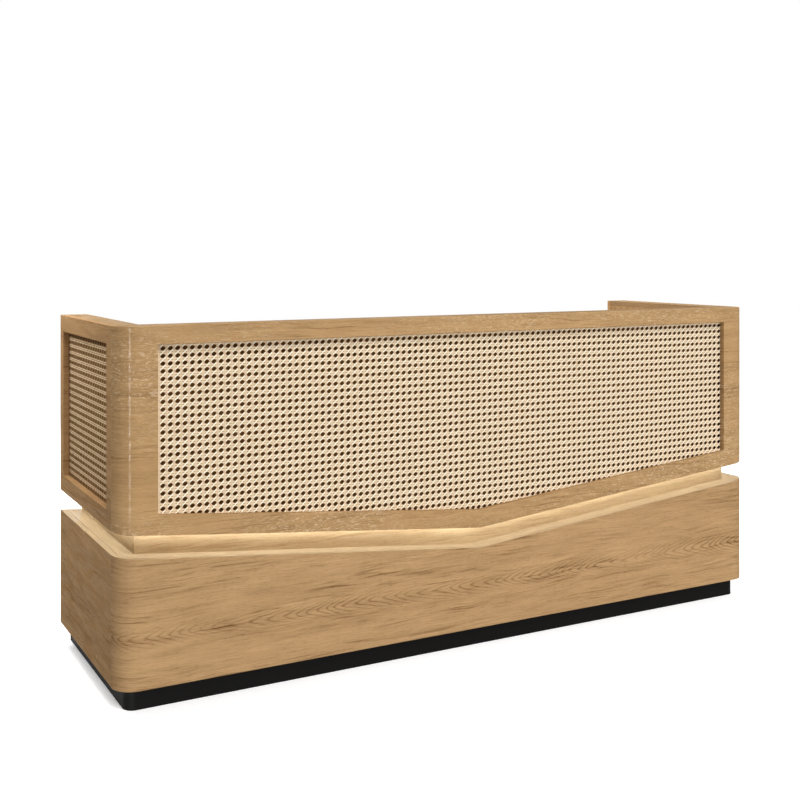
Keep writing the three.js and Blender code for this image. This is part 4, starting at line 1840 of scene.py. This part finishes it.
@dataclass
class Knob(Assembly):
    """A turned knob with a waisted neck and a rounded head."""

    neck_radius: float = 0.007
    waist: float = 0.0014
    neck_length: float = 0.0145
    head_radius: float = 0.014
    head_length: float = 0.0095
    rim: float = 0.003
    steps: int = 48
    curve_steps: int = 8

    def profile(self) -> list[Pair]:
        """Draw the half profile from the foot to the middle of the head.

        Returns:
            Radius and height of each ring.
        """
        shares = [i / self.curve_steps for i in range(self.curve_steps + 1)]
        rise = [math.sin(QUARTER_TURN * share) for share in shares]
        lag = [1 - math.cos(QUARTER_TURN * share) for share in shares]
        top = self.neck_length + self.head_length
        growth = self.head_radius - self.neck_radius
        neck = [
            (self.neck_radius - self.waist * math.sin(math.pi * share), self.neck_length * share)
            for share in shares
        ]
        flare = [
            (self.neck_radius + growth * out, self.neck_length + self.rim * up)
            for out, up in zip(rise[1:], lag[1:])
        ]
        round_top = [
            (self.head_radius - self.rim * back, top - self.rim * (1 - up)) for up, back in zip(rise, lag)
        ]
        dish = [(self.head_radius - 2 * self.rim, top - self.rim / 6)]
        return neck + flare + round_top + dish

    def build(self, node: str, body: str) -> None:
        """Turn a knob, point it to the staff side and dress it.

        Args:
            node: The solid of the knob.
            body: The body that carries it.
        """
        low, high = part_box(node)
        middle = (low + high) / 2
        piece = turn(finished(node), self.profile(), self.steps, True)
        send(piece, (middle.x, low.y, middle.z), (-QUARTER_TURN, 0, 0))
        smooth(piece)
        self.finishes.dress(piece, Satin.KNOB, node, body)


@dataclass
class Worktop(Assembly):
    """Worktop between the walls, with a cable grommet."""

    edge: float = 0.002
    edge_steps: int = 3
    steps: int = 64
    hole_radius: float = 0.030
    wall: float = 0.003
    seat: float = 0.003
    rim: float = 0.0008
    cap_height: float = 0.004
    gap: float = 0.0003
    slot_half: float = 0.008
    slot_reach: float = 0.018
    cut_reach: float = 0.01

    def build(self) -> None:
        """Build and dress the worktop, the grommet's ring and its cap."""
        low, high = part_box("worktop")
        ring_low, ring_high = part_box("grommet_ring")
        middle = (ring_low + ring_high) / 2
        board = self.shop.blank("worktop", low, high)
        soften(board, self.edge, self.edge_steps)
        levels = (low.z - self.cut_reach, high.z + self.cut_reach)
        hole = turn("waste", [(self.hole_radius, level) for level in levels], self.steps, True)
        send(hole, (middle.x, middle.y, 0))
        carve(board, hole)
        smooth(board)
        self.shop.veneer(board, "worktop")
        self.ring(middle, ring_low, ring_high, high.z)
        self.cap(middle)

    def ring(self, middle: Vector, low: Vector, high: Vector, top: float) -> None:
        """Turn the grommet's ring.

        Args:
            middle: Middle of the ring.
            low: Lowest corner of its solid.
            high: Highest corner of its solid.
            top: Height of the worktop.
        """
        flange = (high.x - low.x) / 2
        outer = self.hole_radius - self.gap
        inner = outer - self.wall
        seat = inner - self.seat
        seat_top = high.z - self.cap_height - self.gap
        rim = self.rim
        profile = [
            (seat, low.z),
            (outer, low.z),
            (outer, top),
            (flange, top),
            (flange, high.z - rim),
            (flange - rim, high.z),
            (inner + rim, high.z),
            (inner, high.z - rim),
            (inner, seat_top),
            (seat, seat_top),
            (seat, low.z),
        ]
        piece = turn(finished("grommet_ring"), profile, self.steps, False)
        send(piece, (middle.x, middle.y, 0))
        smooth(piece)
        self.finishes.dress(piece, Satin.PLASTIC, "grommet_ring")

    def cap(self, middle: Vector) -> None:
        """Turn the grommet's cap and cut its cable slot.

        Args:
            middle: Middle of the grommet.
        """
        low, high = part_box("grommet_cap")
        radius = (high.x - low.x) / 2
        piece = turn(finished("grommet_cap"), [(radius, low.z), (radius, high.z)], self.steps, True)
        send(piece, (middle.x, middle.y, 0))
        edge = middle.y + radius
        slot = add_block(
            "waste",
            (middle.x - self.slot_half, edge - self.slot_reach, low.z - self.cut_reach),
            (middle.x + self.slot_half, edge + self.cut_reach, high.z + self.cut_reach),
        )
        carve(piece, slot)
        soften(piece, self.rim, self.edge_steps)
        self.finishes.dress(piece, Satin.PLASTIC, "grommet_cap", "grommet_cap")


@dataclass
class DrawerPedestal(Assembly):
    """Partitions under the worktop, and two drawers on runners."""

    knob: Knob
    wall: float = 0.012
    bottom: float = 0.008
    edge: float = 0.001

    def build(self) -> None:
        """Build and dress the partitions and the drawers."""
        for side in SIDES:
            self.shop.board(f"partition_{side}")
        for drawer in ("upper_drawer", "lower_drawer"):
            self.shop.board(f"{drawer}_face", drawer)
            self.box(drawer)
            self.knob.build(f"{drawer}_knob", drawer)
            rails = [f"{drawer}_{kind}_rail_{side}" for kind in ("fixed", "moving") for side in SIDES]
            dress_solids(rails, self.finishes[Satin.STEEL])

    def box(self, drawer: str) -> None:
        """Hollow out a drawer box.

        Args:
            drawer: Name of the drawer's body.
        """
        node = f"{drawer}_box"
        low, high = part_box(node)
        piece = self.shop.blank(node, low, high)
        with editing(piece):
            pick(piece, MeshPart.FACE, lambda face: face.normal.z > FACING)
            bpy.ops.mesh.inset(thickness=self.wall, depth=0.0)
            extrude((0, 0, self.bottom - (high.z - low.z)))
        close_up(piece)
        soften(piece, self.edge)
        self.shop.veneer(piece, node, drawer)


@dataclass
class Cupboard(Assembly):
    """Shelf and hinged door of the right bay."""

    knob: Knob

    def build(self) -> None:
        """Build and dress the cupboard."""
        self.shop.board("cupboard_shelf")
        self.shop.board("cupboard_door", "cupboard_door")
        self.knob.build("cupboard_knob", "cupboard_door")
        leaves = [f"{level}_hinge_{leaf}_leaf" for level in ("lower", "upper") for leaf in ("frame", "door")]
        dress_solids(leaves, self.finishes[Satin.STEEL])


# Studio


@dataclass(frozen=True)
class Softbox:
    """A rectangular soft lamp."""

    name: str
    power: float
    size: Pair
    place: Point
    aim: Point
    gloss_only: bool = False

    def build(self) -> None:
        """Set the lamp up, unseen by the camera."""
        clear_selection()
        bpy.ops.object.light_add(type="AREA", location=self.place)
        lamp = bpy.context.object
        lamp.name = self.name
        lamp.data.shape = "RECTANGLE"
        lamp.data.size, lamp.data.size_y = self.size
        lamp.data.energy = self.power
        away = Vector(self.place) - Vector(self.aim)
        lamp.rotation_euler = away.to_track_quat("Z", "Y").to_euler()
        lamp.visible_camera = False
        lamp.visible_diffuse = not self.gloss_only


@dataclass
class Studio:
    """Pale floor, white surroundings, soft light, and the camera at the picture's viewpoint."""

    floor_size: float = 30.0
    floor_lift: float = 0.3
    floor_roughness: float = 0.8
    floor_specular: float = 0.1
    floor_waves: Point = (0.8, 0.8, 0.8)
    floor_tones: tuple[Colour, Colour] = (linear(252, 252, 252), linear(255, 255, 255))
    floor_unseen: Colour = linear(150, 150, 150)
    camera_place: Point = (-1.8568, -3.2162, 1.1894)
    camera_turn: float = math.radians(-28.70)
    lens: float = 51.08
    sensor: float = 36.0
    shift_down: float = 0.184
    ambient: float = 0.25
    key_strength: float = 1.92
    key_spread: float = math.radians(25)
    key_towards: Point = (-0.03, -0.655, 0.755)
    softboxes: tuple[Softbox, ...] = (
        Softbox("edge_box", 110.0, (0.22, 0.9), (-2.2, -1.97, 0.5), (-1.07, -0.32, 0.5), True),
        Softbox("front_box", 72.0, (3.0, 1.6), (0.6, -4.2, 1.0), (0.6, -0.33, 0.6)),
        Softbox("left_box", 8.0, (0.8, 0.5), (-1.75, 0.45, 1.6), (-1.1, 0.1, 0.75)),
        Softbox("right_box", 8.0, (0.8, 0.5), (1.75, 0.45, 1.6), (1.1, 0.1, 0.75)),
        Softbox("inner_box", 85.0, (1.2, 1.0), (-1.05, 2.4, 2.4), (1.05, 0.1, 0.95)),
        Softbox("back_box", 60.0, (6.0, 2.4), (0.0, 4.5, 2.2), (0.0, 0.0, 0.7)),
    )

    def build(self) -> None:
        """Set up the stage, the light and the camera."""
        self.floor()
        self.world()
        self.key()
        for box in self.softboxes:
            box.build()
        self.camera()
        bpy.context.scene.view_settings.view_transform = "Standard"

    def camera(self) -> None:
        """Place the camera: level, with the picture's frame shifted down."""
        clear_selection()
        turned = (QUARTER_TURN, 0, self.camera_turn)
        bpy.ops.object.camera_add(location=self.camera_place, rotation=turned)
        camera = bpy.context.object
        camera.name = "viewpoint"
        camera.data.lens = self.lens
        camera.data.sensor_width = self.sensor
        camera.data.shift_y = -self.shift_down
        bpy.context.scene.camera = camera

    def key(self) -> None:
        """Add the soft distant key light, in front of the desk and above it."""
        clear_selection()
        bpy.ops.object.light_add(type="SUN")
        lamp = bpy.context.object
        lamp.name = "key"
        lamp.data.energy = self.key_strength
        lamp.data.angle = self.key_spread
        lamp.rotation_euler = Vector(self.key_towards).to_track_quat("Z", "Y").to_euler()

    def seen(self, graph: Graph) -> Socket:
        """Tell the rays that see the white surroundings: the camera's, and those in metal and glass.

        Args:
            graph: The graph of the material or the world.

        Returns:
            1 for these rays, 0 for the rest.
        """
        path = graph.add("ShaderNodeLightPath").outputs
        seen = graph.math("MAXIMUM", path["Is Camera Ray"], path["Is Glossy Ray"])
        return graph.math("MAXIMUM", seen, path["Is Transmission Ray"])

    def floor(self) -> None:
        """Lay the pale floor, which keeps the desk's shadow."""
        clear_selection()
        bpy.ops.mesh.primitive_plane_add(size=self.floor_size, location=(0, 0, 0))
        floor = bpy.context.object
        floor.name = "floor"
        material, graph, shader = new_material("pale_floor")
        tone = graph.blend(graph.noise(graph.place(), self.floor_waves), *self.floor_tones)
        seen = self.seen(graph)
        graph.feed(shader, {
            "Base Color": graph.blend(seen, self.floor_unseen, tone),
            "Emission Color": graph.blend(seen, BLACK, tone),
            "Emission Strength": self.floor_lift,
            "Roughness": self.floor_roughness,
            "Specular IOR Level": self.floor_specular,
        })
        floor.data.materials.append(material)

    def world(self) -> None:
        """Surround the desk with white where it is seen, and soft light for the rest."""
        world = bpy.data.worlds.new("surroundings")
        world.use_nodes = True
        bpy.context.scene.world = world
        graph = Graph(world.node_tree)
        level = graph.span(self.seen(graph), 0.0, 1.0, (self.ambient, 1.0))
        background = world.node_tree.nodes["Background"]
        graph.feed(background, {"Strength": level, "Color": WHITE})


def write_sizes() -> None:
    """Update the view layer."""
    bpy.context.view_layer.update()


def main() -> None:
    """Build the studio and the desk's sub-assemblies in order."""
    logging.basicConfig(level=logging.INFO, format="%(name)s: %(message)s")
    shop = BoardShop(DeskPlan.measured(), Finishes())
    knob = Knob(shop)
    assemblies = [
        Studio(),
        Plinth(shop),
        CoreWalls(shop),
        LowerCasing(shop),
        UpperCasing(shop),
        CanePanels(shop),
        LightChannel(shop),
        Worktop(shop),
        DrawerPedestal(shop, knob),
        Cupboard(shop, knob),
    ]
    for assembly in assemblies:
        assembly.build()
        log.info("%s is done", type(assembly).__name__)
    write_sizes()


if __name__ == "__main__":
    main()
